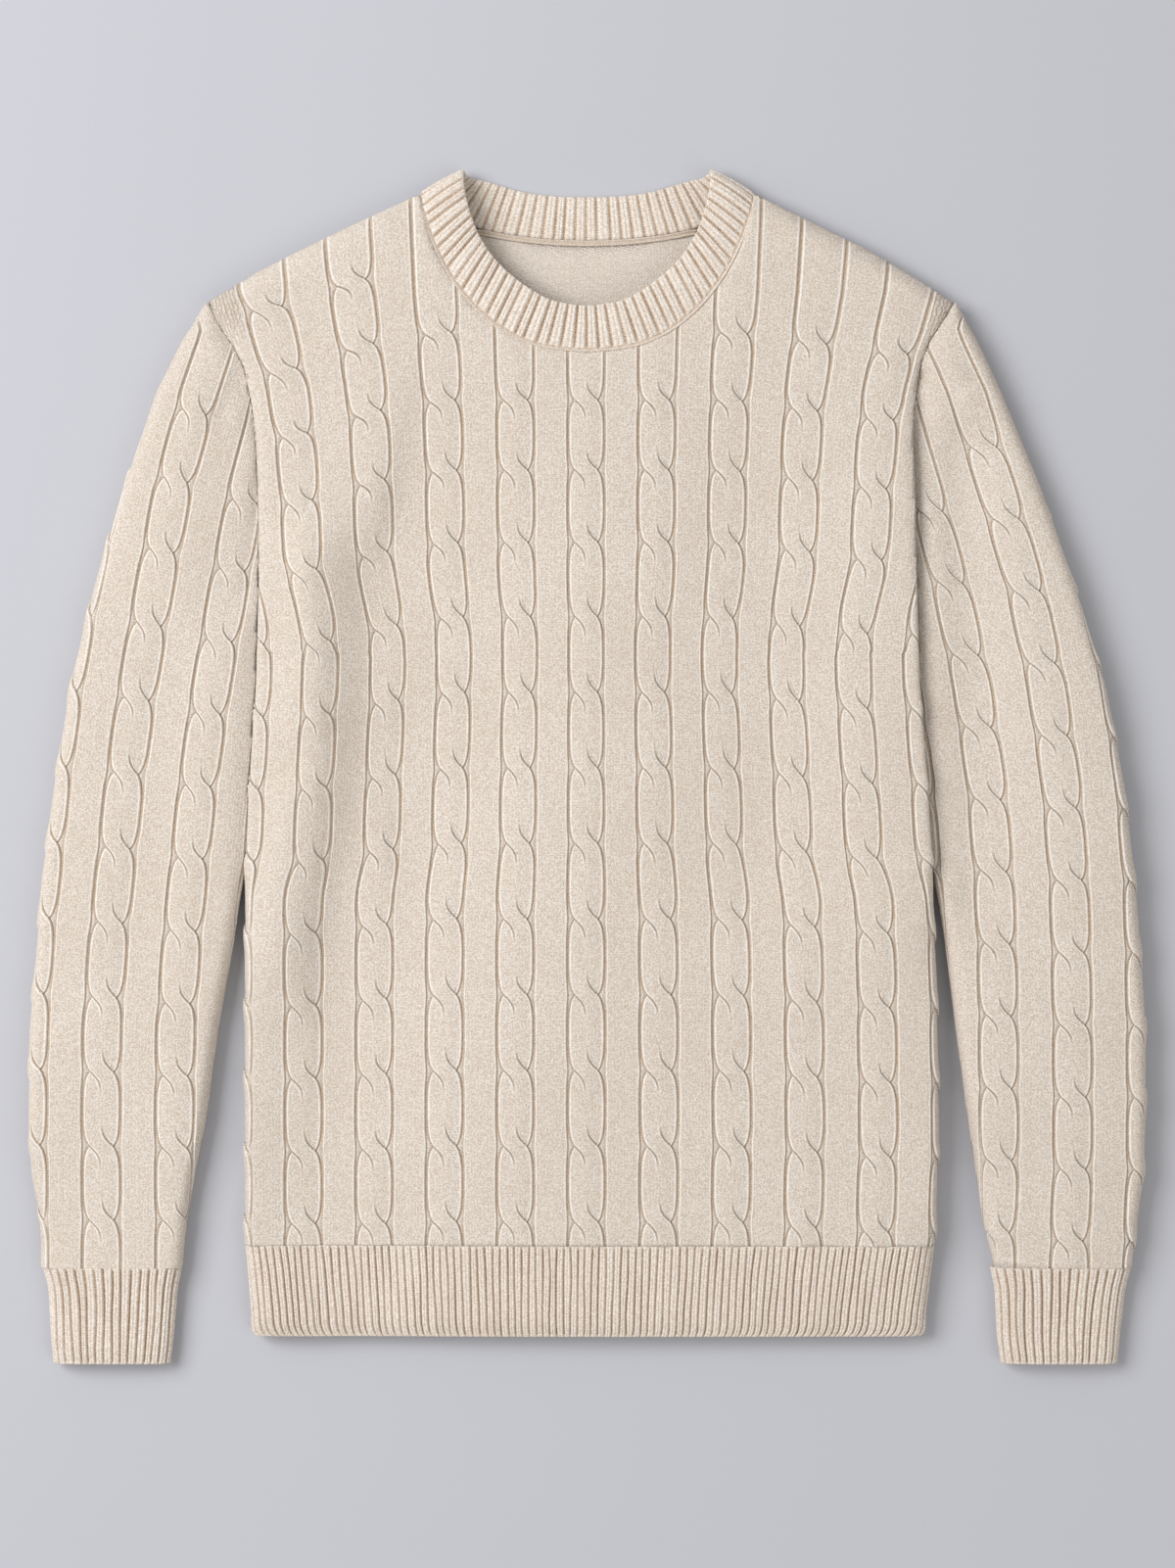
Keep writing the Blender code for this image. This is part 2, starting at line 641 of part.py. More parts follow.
def sleeve(name, side, table, rows_table):
    """A set-in sleeve, open at the cuff and at the armhole: its cabled top and its plain under
    side are two nodes that meet at the outer fold, so that the hollow between them stays open."""
    first_y, repeat, taper, lag_each, lag_all = rows_table
    start_row = (CUFF_JOINT_Y - first_y) / repeat
    rows = [start_row]
    for crossing in range(15):
        rows += [crossing + phase for phase in ROW_PHASES]

    def height_of(row, column):
        height = first_y + repeat * row - taper * max(0.0, row - TIGHT_FROM) ** 2
        column = min(column, 2.0)
        height -= (column - 1.0) * (lag_each * max(row, 0.0) * (1.0 if column > 1.0 else 0.5)
                                    + lag_all * (1.0 if column > 1.0 else 0.0))
        low = CUFF_JOINT_Y + SEAM_GAP / 2
        if row <= start_row:
            return low
        return min(max(height, low), SLEEVE_TIP_Y)

    pairs = [pair for pair in columns_between(0, 3)[3:] if pair[0] < 3 or pair[1] < 2][::-1]

    def top_cell(row, pair, depth):
        # Knots count from the outer fold inwards, so the left sleeve reads its cables mirrored.
        cable, knot = pair
        place, relief = cable_profile(row)[knot if side < 0 else 6 - knot]
        column = cable - side * place
        column = max(column, 0.0)
        height = height_of(row, column)
        over = sleeve_sections(table, height, side)[0]
        reach = over.length_at(sleeve_line(table, height, 2)) + (1.0 - column) * SLEEVE_PITCH
        if cable == 0 and knot == 3:
            reach = over.along[-1]
        if not 0.0 < reach < over.along[-1]:
            relief = 0.0
        point, reached = placed(over, reach, height, relief if depth == 0.0 else -depth)
        return point, reached, not 0.0 < reach < over.along[-1]

    def under_cell(row, share, depth):
        height = height_of(row, 0.0 if share < 0.5 else 2.0)
        under = sleeve_sections(table, height, side)[1]
        point, reached = placed(under, share * under.along[-1], height, -depth)
        return point, reached, False

    def placed(section, distance, height, lift):
        x, z = section.at(distance, lift)
        return (x, height, z), height >= SLEEVE_TIP_Y

    inner_columns = [0] + [index for index, pair in enumerate(pairs) if pair[1] in (0, 6) and index]
    if inner_columns[-1] != len(pairs) - 1:
        inner_columns.append(len(pairs) - 1)
    inner_rows = list(range(0, len(rows), 3))
    if inner_rows[-1] != len(rows) - 1:
        inner_rows.append(len(rows) - 1)
    coarse_rows = [rows[row] for row in inner_rows]
    outer = cloth_grid(rows, pairs, lambda row, pair: top_cell(row, pair, 0.0))
    inner = cloth_grid(coarse_rows, [pairs[column] for column in inner_columns],
                       lambda row, pair: top_cell(row, pair, WALL))
    closed_cloth(name + "_top", outer, inner, inner_rows, inner_columns,
                 knit_material("knit_" + name + "_top", 0.96))

    outer = cloth_grid(coarse_rows, UNDER_SHARES, lambda row, share: under_cell(row, share, 0.0))
    inner = cloth_grid(coarse_rows, UNDER_SHARES,
                       lambda row, share: under_cell(row, share, PLAIN_WALL))
    closed_cloth(name + "_under", outer, inner, list(range(len(coarse_rows))),
                 list(range(len(UNDER_SHARES))), knit_material("knit_" + name + "_under", 0.9))


def cuff(name, table):
    """A ribbed cuff: ribs on top, plain where it rests, open at both ends."""
    heights = [CUFF_BOTTOM_Y, CUFF_BOTTOM_Y + CUFF_LIP, CUFF_MIDDLE_Y, CUFF_JOINT_Y - SEAM_GAP / 2]
    tops = [CUFF_MOUTH_TOP, CUFF_TOP, CUFF_TOP, CUFF_JOINT_TOP]
    steps = 2 * CUFF_RIBS
    under = (0.04, 0.1, 0.2, 0.5, 0.8, 0.9, 0.96, 1.0)

    def cell(index, step, inner):
        height, top = heights[index], tops[index]
        outer_x = np.interp(height, table[:, 0], table[:, 1])
        inner_x = np.interp(height, table[:, 0], table[:, 2])
        middle = top * 0.5
        high = (middle + UNDERARM_SEAM_GAP / 2, CUFF_ROUND, 1.0)
        low = (middle - UNDERARM_SEAM_GAP / 2, CUFF_ROUND, 1.0)
        if step <= steps:
            section = Section(inner_x, outer_x, top, CUFF_CROWN, high, high)
            relief = 0.0 if step % 2 else -RIB_DEPTH
            share = step / steps
        else:
            section = Section(outer_x, inner_x, 0.0, 0.0, high, low)
            relief = 0.0
            share = under[step - steps - 1]
        x, z = section.at(share * section.along[-1], -RIB_WALL if inner else relief)
        return (x, height, z)

    count = steps + 1 + len(under)
    inner_columns = list(range(0, steps + 1, 5)) + [steps] + list(range(steps + 1, count))
    inner_columns = sorted(set(inner_columns))
    rows = list(range(len(heights)))
    outer = [[cell(row, step, False) for step in range(count)] for row in rows]
    inner = [[cell(row, step, True) for step in inner_columns] for row in rows]
    return closed_cloth(name, outer, inner, rows, inner_columns, knit_material("rib_" + name, 0.98))


# ---------------------------------------------------------------- neck

def ring_tables():
    """Seam and rim points all round the neck, from the front middle to the wearer's left."""
    seam, rim = NECKBAND[:, :3], NECKBAND[:, 3:]
    flipped = np.array([-1.0, 1.0, 1.0])
    seam = np.concatenate([seam, (seam[1:-1] * flipped)[::-1]])
    rim = np.concatenate([rim, (rim[1:-1] * flipped)[::-1]])
    return seam, rim


def neckband():
    """The ribbed neckband: a ring that faces up at the front and folds under at the back."""
    seam, rim = ring_tables()
    middle = (seam + rim) / 2.0
    count = 2 * NECK_RIBS
    loop = np.concatenate([middle, middle[:1]])
    along = np.concatenate([[0.0], np.cumsum(np.linalg.norm(np.diff(loop, axis=0), axis=1))])
    places = np.linspace(0.0, along[-1], count, endpoint=False)

    def read(points):
        closed = np.concatenate([points, points[:1]])
        return np.stack([np.interp(places, along, closed[:, axis]) for axis in range(3)], axis=1)

    seams, rims = read(seam), read(rim)
    across = rims - seams
    runs = np.roll((seams + rims) / 2, -1, axis=0) - np.roll((seams + rims) / 2, 1, axis=0)
    normals = np.cross(runs, across)
    normals /= np.linalg.norm(normals, axis=1)[:, None]
    for _ in range(3):
        normals = (np.roll(normals, 1, axis=0) + 2 * normals + np.roll(normals, -1, axis=0))
        normals /= np.linalg.norm(normals, axis=1)[:, None]
    level = np.where(normals[:, 2] < -0.2, 0.0, 1.0)[:, None]
    shares = (0.0, 0.5, 0.93)
    ridge = (np.arange(count) % 2)[:, None]
    facing_down = (normals[:, 2] < -0.85)[:, None]

    def outer_ring(share):
        bow = NECK_BOW * 4.0 * share * (1.0 - share) * level
        valley = np.where(facing_down, 0.0, RIB_DEPTH * 0.8) * (1 - ridge)
        return seams + across * share + normals * (bow - valley)

    def inner_ring(share):
        bow = NECK_BOW * 4.0 * share * (1.0 - share) * level
        valley = RIB_DEPTH * 0.5 * (1 - ridge)
        return seams + across * share + normals * (bow - RIB_WALL + valley)

    rings = [outer_ring(share) for share in shares]
    rings.append(seams + across - normals * RIB_WALL * 0.5)
    rings += [inner_ring(shares[-1]), inner_ring(0.0)]
    builder = Builder()
    wrapped = [[tuple(point) for point in ring] + [tuple(ring[0])] for ring in rings]
    wrapped.append(wrapped[0])
    builder.grid(wrapped, False)
    return builder.make("neckband", knit_material("rib_neck", 0.98))


def neck_seam_tape():
    """The narrow linking seam inside the back neck, lying over the joint of band and back."""
    half = [(x, y) for x, y in BACK_NECK_HALF if x <= TAPE_REACH + 20.0]
    line = [(-x, y) for x, y in half] + [(x, y) for x, y in reversed(half)][1:]
    xs = np.linspace(-TAPE_REACH, TAPE_REACH, 25)
    ys = np.interp(xs, [p[0] for p in line], [p[1] for p in line])
    low = PLAIN_WALL + TAPE_LIFT
    corners = [(-TAPE_HALF_WIDTH, low), (-TAPE_HALF_WIDTH * 0.7, low + TAPE_THICKNESS),
               (0.0, low + TAPE_THICKNESS * 0.6), (TAPE_HALF_WIDTH * 0.7, low + TAPE_THICKNESS),
               (TAPE_HALF_WIDTH, low)]
    builder = Builder()
    rings = [[(x, y + dy, z) for dy, z in corners] for x, y in zip(xs, ys)]
    closed = [ring + [ring[0]] for ring in rings]
    builder.grid(closed, False)
    model_ends = [rings[0], rings[-1]]
    for ring in model_ends:
        first = len(builder.points)
        builder.points.extend(ring)
        builder.faces.append(tuple(range(first, first + len(ring))))
    return builder.make("neck_seam_tape", knit_material("tape", 1.03))


def main():
    """Builds every piece of the sweater."""
    clear_scene()
    front_panel()
    back_panel()
    hem_rib("front_hem_rib", True)
    hem_rib("back_hem_rib", False)
    sleeve("right_sleeve", -1, RIGHT_SLEEVE, RIGHT_SLEEVE_ROWS)
    sleeve("left_sleeve", 1, LEFT_SLEEVE, LEFT_SLEEVE_ROWS)
    cuff("right_cuff", RIGHT_CUFF)
    cuff("left_cuff", LEFT_CUFF)
    neckband()
    neck_seam_tape()


main()
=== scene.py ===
"""Cable knit crew-neck sweater laid front up: the cloth, seams and yarn of every piece.

Frame: +X to the wearer's left, +Y towards the collar, +Z up, z = 0 is the surface it lies on.
Sizes are in millimetres until a mesh is made; MM turns them into metres. Fabric is counted in
cable pitches across and in cable crossings along, and each piece lays that fabric on its form.
"""

import logging
from collections.abc import Callable
from dataclasses import dataclass, field
from enum import Enum
from functools import partial, reduce

import bmesh
import bpy
import numpy as np
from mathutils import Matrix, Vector


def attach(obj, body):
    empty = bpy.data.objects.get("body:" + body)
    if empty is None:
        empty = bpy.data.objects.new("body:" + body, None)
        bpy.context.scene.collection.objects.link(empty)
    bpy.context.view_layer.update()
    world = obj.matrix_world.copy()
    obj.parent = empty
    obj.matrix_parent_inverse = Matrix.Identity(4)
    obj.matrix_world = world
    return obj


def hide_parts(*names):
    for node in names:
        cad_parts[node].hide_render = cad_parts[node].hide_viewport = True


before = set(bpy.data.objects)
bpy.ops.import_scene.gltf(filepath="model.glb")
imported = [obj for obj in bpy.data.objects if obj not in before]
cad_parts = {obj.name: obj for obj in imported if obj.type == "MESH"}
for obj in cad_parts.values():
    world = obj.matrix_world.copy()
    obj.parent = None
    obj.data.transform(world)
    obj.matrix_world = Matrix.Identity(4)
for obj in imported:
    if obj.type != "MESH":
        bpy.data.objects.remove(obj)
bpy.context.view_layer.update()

Array = np.ndarray
Material = bpy.types.Material
Object = bpy.types.Object
Socket = bpy.types.NodeSocket
Tree = bpy.types.NodeTree
Pair = tuple[float, float]
Table = tuple[tuple[float, ...], ...]
LOG = logging.getLogger("sweater")

MM = 0.001
SEED = 11
NOISE_CELLS = 257
FULL_TURN = 6.2832


class Slot(Enum):
    """Material slots of the record."""

    CABLE = "cable_knit"
    RIB = "rib_knit"
    SEAM = "seam_yarn"


class Side(Enum):
    """The wearer's sides, by the sign of x."""

    RIGHT = -1
    LEFT = 1


# ---- cloth sizes


@dataclass(frozen=True)
class Cloth:
    """Sizes that every piece of the fabric shares."""

    wall: float = 3.8
    sleeve_wall: float = 3.6
    plain_wall: float = 3.4
    seam_gap: float = 0.3
    joint_gap: float = 0.02
    underarm_gap: float = 0.8
    wale: float = 1.9
    course: float = 1.55
    weld: float = 0.004
    under_rest: float = 0.65


@dataclass(frozen=True)
class CableSizes:
    """The rope cable: two strands that swap sides at each crossing."""

    pitch: float = 42.6
    repeat: float = 46.2
    channel_half: float = 12.0
    channel_pinch: float = 0.8
    pinch_reach: float = 0.17
    channel_depth: float = 1.5
    strand_offset: float = 5.2
    strand_half: float = 5.3
    strand_turn: float = 2.3
    edge_round: float = 0.9
    bank_round: float = 0.55
    belly_crest: float = 0.25
    belly_dome: float = 0.6
    over_rise: float = 1.1
    under_dip: float = 1.1
    dip_reach: float = 3.4
    step_half: float = 0.8
    crossing_reach: float = 0.2
    crease_from: float = 0.12
    crease_reach: float = 0.34
    purl_rise: float = 1.5
    purl_room: Pair = (1.5, 3.2)

    @property
    def belly_half(self) -> float:
        """Half width of the cable at its widest."""
        return self.strand_offset + self.strand_half


CLOTH = Cloth()
CABLE = CableSizes()


def smooth_step(value: Array, low: float, high: float) -> Array:
    """A smooth 0 to 1 step.

    Args:
        value: Where to read the step.
        low: Value at and below which it is 0.
        high: Value at and above which it is 1.

    Returns:
        The step at each value.
    """
    share = np.clip((np.asarray(value, float) - low) / (high - low), 0.0, 1.0)
    return share * share * (3.0 - 2.0 * share)


def smooth_noise(x: Array, y: Array, cell: float, seed: int) -> Array:
    """Soft seeded value noise from -1 to 1 over a plane.

    Args:
        x: First coordinate.
        y: Second coordinate.
        cell: Size of one noise cell, in the coordinates' unit.
        seed: Which pattern.

    Returns:
        The noise at each point.
    """
    table = np.random.default_rng(seed).uniform(-1.0, 1.0, (NOISE_CELLS, NOISE_CELLS))
    gx, gy = np.broadcast_arrays(np.asarray(x, float) / cell, np.asarray(y, float) / cell)
    ix, iy = np.floor(gx).astype(int), np.floor(gy).astype(int)
    fx, fy = (part * part * (3 - 2 * part) for part in (gx - ix, gy - iy))

    low, high = (table[ix % NOISE_CELLS, row % NOISE_CELLS] * (1 - fx)
                 + table[(ix + 1) % NOISE_CELLS, row % NOISE_CELLS] * fx for row in (iy, iy + 1))
    return low * (1 - fy) + high * fy


def read_line(place: Array, line: Table, column: int = 1) -> Array:
    """One column of a table of points, read between them along its first column.

    Args:
        place: Where to read.
        line: The points, with the first column rising.
        column: Which column.

    Returns:
        The values there.
    """
    table = np.array(line)
    return np.interp(place, table[:, 0], table[:, column])


def unit(vectors: Array) -> Array:
    """The vectors at length 1."""
    return vectors / np.linalg.norm(vectors, axis=-1, keepdims=True)


def last_row(crossings: tuple[int, ...], cable: Array) -> Array:
    """The row past which each cable's strands run straight."""
    return np.array(crossings)[cable.astype(int)] + 0.5


FAR = -5.0


@dataclass
class Relief:
    """What the knit does at each point of a piece.

    Attributes:
        height: Rise above the ground fabric, in millimetres.
        wale: Place across the stitches, counted in wales.
        course: Place along the stitches, counted in courses.
        gutter: Painted shade, 1 where the yarn is down in a gap, 0 on open fabric.
        purl: 0 for plain stitches to 1 for purl bars.
        outline: Distance outside the cable's outline, in millimetres.
        bank: Distance outside the channel that the cable lies in, in millimetres.
        crease: Distance from the strand on top at a crossing, in millimetres.
        crossing: 1 at a crossing, 0 away from it.
        fine: How much the lines between wales show, as deeper bumps and painted shade, from 0 to 1.
    """

    height: Array
    wale: Array
    course: Array
    gutter: Array
    purl: Array
    outline: Array | float = FAR
    bank: Array | float = FAR
    crease: Array | float = FAR
    crossing: Array | float = 0.0
    fine: Array | float = 0.0

    @classmethod
    def purl_side(cls, x: Array, height: Array) -> "Relief":
        """The plain inner side of the knit over a grid.

        Args:
            x: Place across the stitches, in millimetres.
            height: Place along them.

        Returns:
            Its relief.
        """
        flat = 0.0 * (x + height)
        return cls(flat, x / CLOTH.wale + flat, height / CLOTH.course + flat, flat, 1.0 + flat)

    def part(self, chosen: tuple[Array, ...], plain: bool) -> "Relief":
        """The ribs of some cells, or a plain purl face there.

        Args:
            chosen: Index of the rows and columns.
            plain: Whether the face is plain.

        Returns:
            Its relief.
        """
        return Relief(self.height[chosen], self.wale[chosen], self.course[chosen],
                      self.gutter[chosen] * (1.0 - plain), self.purl[chosen] + float(plain))


@dataclass(frozen=True)
class Strands:
    """Where a cable's strands run at each row: their swing, lean and the edges around them."""

    turn: Array
    swing: Array
    lean: Array
    half: Array
    channel: Array

    @classmethod
    def at(cls, row: Array, sizes: CableSizes = CABLE) -> "Strands":
        """The strands at some rows.

        Args:
            row: Place along the cable, counted in crossings.
            sizes: The cable's sizes.

        Returns:
            The strands there.
        """
        turn = row - np.round(row)
        steep = sizes.strand_turn
        swing = np.tanh(steep * np.sin(np.pi * turn)) / np.tanh(steep)
        slope = (sizes.strand_offset * steep * np.pi / np.tanh(steep) * np.cos(np.pi * turn)
                 / np.cosh(steep * np.sin(np.pi * turn)) ** 2 / sizes.repeat)
        lean = 1.0 / np.sqrt(1.0 + slope ** 2)
        half = sizes.strand_offset * np.abs(swing) + sizes.strand_half / lean
        half = np.minimum(half, sizes.belly_half)
        channel = sizes.channel_half - sizes.channel_pinch * np.exp(
            -(turn / sizes.pinch_reach) ** 2)
        return cls(turn, swing, lean, half, channel)


def fitted_columns(columns: Array, rows: Array, sizes: CableSizes = CABLE) -> Array:
    """Grid columns moved so that they follow each cable's outline and its channel's edges.

    Args:
        columns: Columns, counted in pitches from a cable's middle.
        rows: Row of each cell, counted in crossings and held above the last one.
        sizes: The cable's sizes.

    Returns:
        The column of each cell, rows by columns.
    """
    strands = Strands.at(rows, sizes)
    cable = np.round(columns)[None, :]
    offset = (columns[None, :] - cable) * sizes.pitch
    away, edge = np.abs(offset), sizes.pitch / 2
    inside = away / sizes.belly_half * strands.half
    between = strands.half + (away - sizes.belly_half) / (
        sizes.channel_half - sizes.belly_half) * (strands.channel - strands.half)
    beyond = strands.channel + (away - sizes.channel_half) / (edge - sizes.channel_half) * (
        edge - strands.channel)
    moved = np.where(away <= sizes.belly_half, inside,
                     np.where(away <= sizes.channel_half, between, beyond))
    return cable + np.sign(offset) * moved / sizes.pitch


def cable_relief(offset: Array, row: Array, sizes: CableSizes = CABLE) -> Relief:
    """The relief of one cable and half of the ground on each side of it.

    The strand on top runs from upper left to lower right at each crossing.

    Args:
        offset: Distance to the right of the cable's middle, in millimetres.
        row: Place along the cable, counted in crossings.
        sizes: The cable's sizes.

    Returns:
        The relief at each point.
    """
    strands = Strands.at(row, sizes)
    turn, half = strands.turn, strands.half
    floor = -sizes.channel_depth
    outline = np.abs(offset) - half
    bank = np.abs(offset) - strands.channel
    over_across = (offset + sizes.strand_offset * strands.swing) * strands.lean
    under_across = (offset - sizes.strand_offset * strands.swing) * strands.lean
    facing = np.where(turn == 0.0, np.sign(offset), np.sign(turn))
    crease = facing * over_across - sizes.strand_half
    creased = 1.0 - smooth_step(np.abs(turn), sizes.crease_from, sizes.crease_reach)

    near = np.exp(-(turn / sizes.crossing_reach) ** 2)
    beside = smooth_step(crease, -sizes.step_half, sizes.step_half)
    step = near * (sizes.over_rise * (1.0 - beside) - sizes.under_dip * beside * np.exp(
        -np.clip(crease, 0.0, None) / sizes.dip_reach))
    level = sizes.belly_crest - sizes.belly_dome * (offset / half) ** 2 + step
    rim = np.clip(1.0 + outline / sizes.edge_round, 0.0, 1.0)
    cable = floor + (level - floor) * np.sqrt(1.0 - rim ** 2)

    room = np.clip(strands.channel - half, 0.05, None)
    place = np.clip(outline / room, 0.0, 1.0)
    opened = smooth_step(room, *sizes.purl_room)
    raised = sizes.purl_rise * opened * np.sqrt(np.clip(4.0 * place * (1.0 - place), 0.0, 1.0))
    side = np.clip(1.0 - bank / sizes.bank_round, 0.0, 1.0)
    ground = floor * (1.0 - np.sqrt(1.0 - side ** 2))

    inside, in_channel = outline < 0.0, (outline >= 0.0) & (bank < 0.0)
    height = np.where(inside, cable, np.where(in_channel, floor + raised, ground))
    across = np.where(crease < 0.0, over_across, under_across)
    along = np.where(inside, creased * across + (1.0 - creased) * offset, offset)
    return Relief(height, along / CLOTH.wale, row * sizes.repeat / CLOTH.course,
                  0.0 * height, np.where(in_channel, opened, 0.0),
                  np.clip(outline, FAR, -FAR), np.clip(bank, FAR, -FAR),
                  np.clip(crease, FAR, -FAR), creased)


# ---- sections


SECTION_POINTS = 161
MOST_OF_HALF = 0.48
ROUND = 0.95


@dataclass(frozen=True)
class Edge:
    """One rounded edge of a section.

    Attributes:
        z: Height of the edge above the surface.
        reach: How far in the edge rounds off.
        ellipse: 1 for a round fold, 0 for a soft taper.
    """

    z: float
    reach: float
    ellipse: float = 1.0


Section = tuple[float, float, float, float, Edge, Edge]


def edge_drop(distance: Array, edge: Edge, width: float) -> Array:
    """How far down a rounded edge is.

    Args:
        distance: Distance in from the edge.
        edge: The edge.
        width: Width of the whole section.

    Returns:
        The drop there, from 0 to 1.
    """
    inwards = 1.0 - np.clip(distance / min(edge.reach, MOST_OF_HALF * width), 0.0, 1.0)
    ellipse = 1.0 - np.sqrt(np.clip(1.0 - inwards ** 2, 0.0, 1.0))
    return edge.ellipse * ellipse + (1.0 - edge.ellipse) * inwards ** 2


def section_line(start: float, end: float, top: float, crown: float, first: Edge,
                 last: Edge, samples: int) -> tuple[Array, float]:
    """The outer line of one cloth layer across the garment.

    Args:
        start: x of the first edge.
        end: x of the last edge.
        top: Height of the layer between its edges.
        crown: Extra height in the middle.
        first: The edge at the start.
        last: The edge at the end.
        samples: How many evenly spaced points to return.

    Returns:
        The points' x and z with their outward normals, and the line's length.
    """
    share = 0.5 * (1.0 - np.cos(np.linspace(0.0, np.pi, SECTION_POINTS)))
    width = abs(end - start)
    x = start + (end - start) * share
    level = top + crown * 4.0 * share * (1.0 - share)
    z = (level - (level - first.z) * edge_drop(share * width, first, width)
         - (level - last.z) * edge_drop(width - share * width, last, width))
    along = np.concatenate([[0.0], np.cumsum(np.hypot(np.diff(x), np.diff(z)))])
    facing = np.sign(end - start) * (1.0 if top > max(first.z, last.z) else -1.0)
    normal = np.stack([-np.gradient(z, along), np.gradient(x, along)], axis=1) * facing
    limit = np.interp(share, [0.0, 0.5, 1.0], [first.ellipse, 1.0, last.ellipse])
    normal[:, 0] *= np.where(limit > ROUND, 1.0, 0.5 + 0.4 * limit)
    normal = unit(normal)
    for edge, place in ((first, 0), (last, -1)):
        if edge.ellipse > ROUND and abs(edge.z - top) > CLOTH.wall:
            normal[place] = (np.sign(x[place] - x[SECTION_POINTS // 2]), 0.0)
    even = np.linspace(0.0, along[-1], samples)
    found = np.stack([np.interp(even, along, part) for part in (x, z, *normal.T)], axis=1)
    return found, float(along[-1])


class Layer:
    """One cloth layer laid out flat: sections at many heights, read in between them."""

    SAMPLES = 321

    def __init__(self, low: float, high: float, step: float,
                 section: Callable[[float], Section]) -> None:
        """Works out the sections.

        Args:
            low: Lowest height (y) of the layer.
            high: Highest height of the layer.
            step: Spacing of the sections.
            section: Gives start, end, top, crown and both edges at a height.
        """
        count = int(np.ceil((high - low) / step)) + 1
        self.heights = np.linspace(low, high, count)
        lines = [section_line(*section(float(height)), self.SAMPLES) for height in self.heights]
        self.lines, self.lengths = (np.array(part) for part in zip(*lines))

    def length(self, height: Array) -> Array:
        """The section's length at each height."""
        return np.interp(height, self.heights, self.lengths)

    def length_at(self, x_of: Callable[[Array], Array]) -> Callable[[Array], Array]:
        """A reader of the distance along the section at which x reaches a line.

        Args:
            x_of: The line's x at each height.

        Returns:
            A function of height that gives the distance along the section.
        """
        found = []
        for line, length, x in zip(self.lines, self.lengths, x_of(self.heights)):
            xs, places = line[:, 0], np.linspace(0.0, length, self.SAMPLES)
            found.append(np.interp(x, xs, places) if xs[-1] > xs[0]
                         else np.interp(-x, -xs, places))
        table = np.array(found)
        return lambda height: np.interp(height, self.heights, table)

    def at(self, height: Array, distance: Array, lift: Array) -> tuple[Array, Array]:
        """Points of the layer.

        Args:
            height: y of each point.
            distance: Distance along the section there.
            lift: Distance outwards from the outer line.

        Returns:
            x and z of each point.
        """
        height, distance, lift = np.broadcast_arrays(height, distance, lift)
        step = self.heights[1] - self.heights[0]
        row = np.clip((height - self.heights[0]) / step, 0.0, len(self.heights) - 1.001)
        share = np.clip(distance / self.length(height), 0.0, 1.0) * (self.SAMPLES - 1)
        column = np.clip(share, 0.0, self.SAMPLES - 1.0001)
        r, c = row.astype(int), column.astype(int)
        fr, fc = (row - r)[..., None], (column - c)[..., None]
        near, far = (self.lines[line, c] * (1 - fc) + self.lines[line, c + 1] * fc
                     for line in (r, r + 1))
        found = near * (1 - fr) + far * fr
        point, normal = found[..., :2], unit(found[..., 2:])
        return point[..., 0] + lift * normal[..., 0], point[..., 1] + lift * normal[..., 1]


def around(over: Layer, under: Layer, height: Array, reach: Array,
           lift: Array | float) -> tuple[Array, Array]:
    """Points of a tube of two layers, read from the first one on into the second.

    Args:
        over: The layer at the start.
        under: The layer that goes on from its end.
        height: y of each point.
        reach: Distance along both sections.
        lift: Distance outwards from the outer line.

    Returns:
        x and z of each point.
    """
    length = over.length(height)
    above = over.at(height, np.minimum(reach, length), lift)
    below = under.at(height, np.clip(reach - length, 0.0, None), lift)
    x, z = (np.where(reach <= length, *pair) for pair in zip(above, below))
    return x, z


def share_ended_cells(height: Array, distance: Array, total: Array) -> Array:
    """Gives the columns past each end of a row the height of the last one past it.

    Args:
        height: y of each cell, rows by columns.
        distance: Distance along the section, before it is held inside.
        total: The section's length there.

    Returns:
        The heights, so that every column past an end shares one point.
    """
    height = height.copy()
    for past in (distance <= 0.0, distance >= total):
        for row in range(height.shape[0]):
            columns = np.nonzero(past[row])[0]
            if len(columns) and len(columns) < height.shape[1]:
                inner = columns.max() if 0 in columns else columns.min()
                height[row, columns] = height[row, inner]
    return height


# ---- meshes


Faced = tuple[Array, Array, Array, Relief]
Face = Callable[[list[int], list[int], bool], Faced]


def some_lines(count: int, every: int) -> list[int]:
    """Every so many lines of a grid, with its last one."""
    return sorted({*range(0, count, every), count - 1})


def linked(name: str, data: bpy.types.ID) -> Object:
    """A new object of the scene."""
    made = bpy.data.objects.new(name, data)
    bpy.context.scene.collection.objects.link(made)
    return made


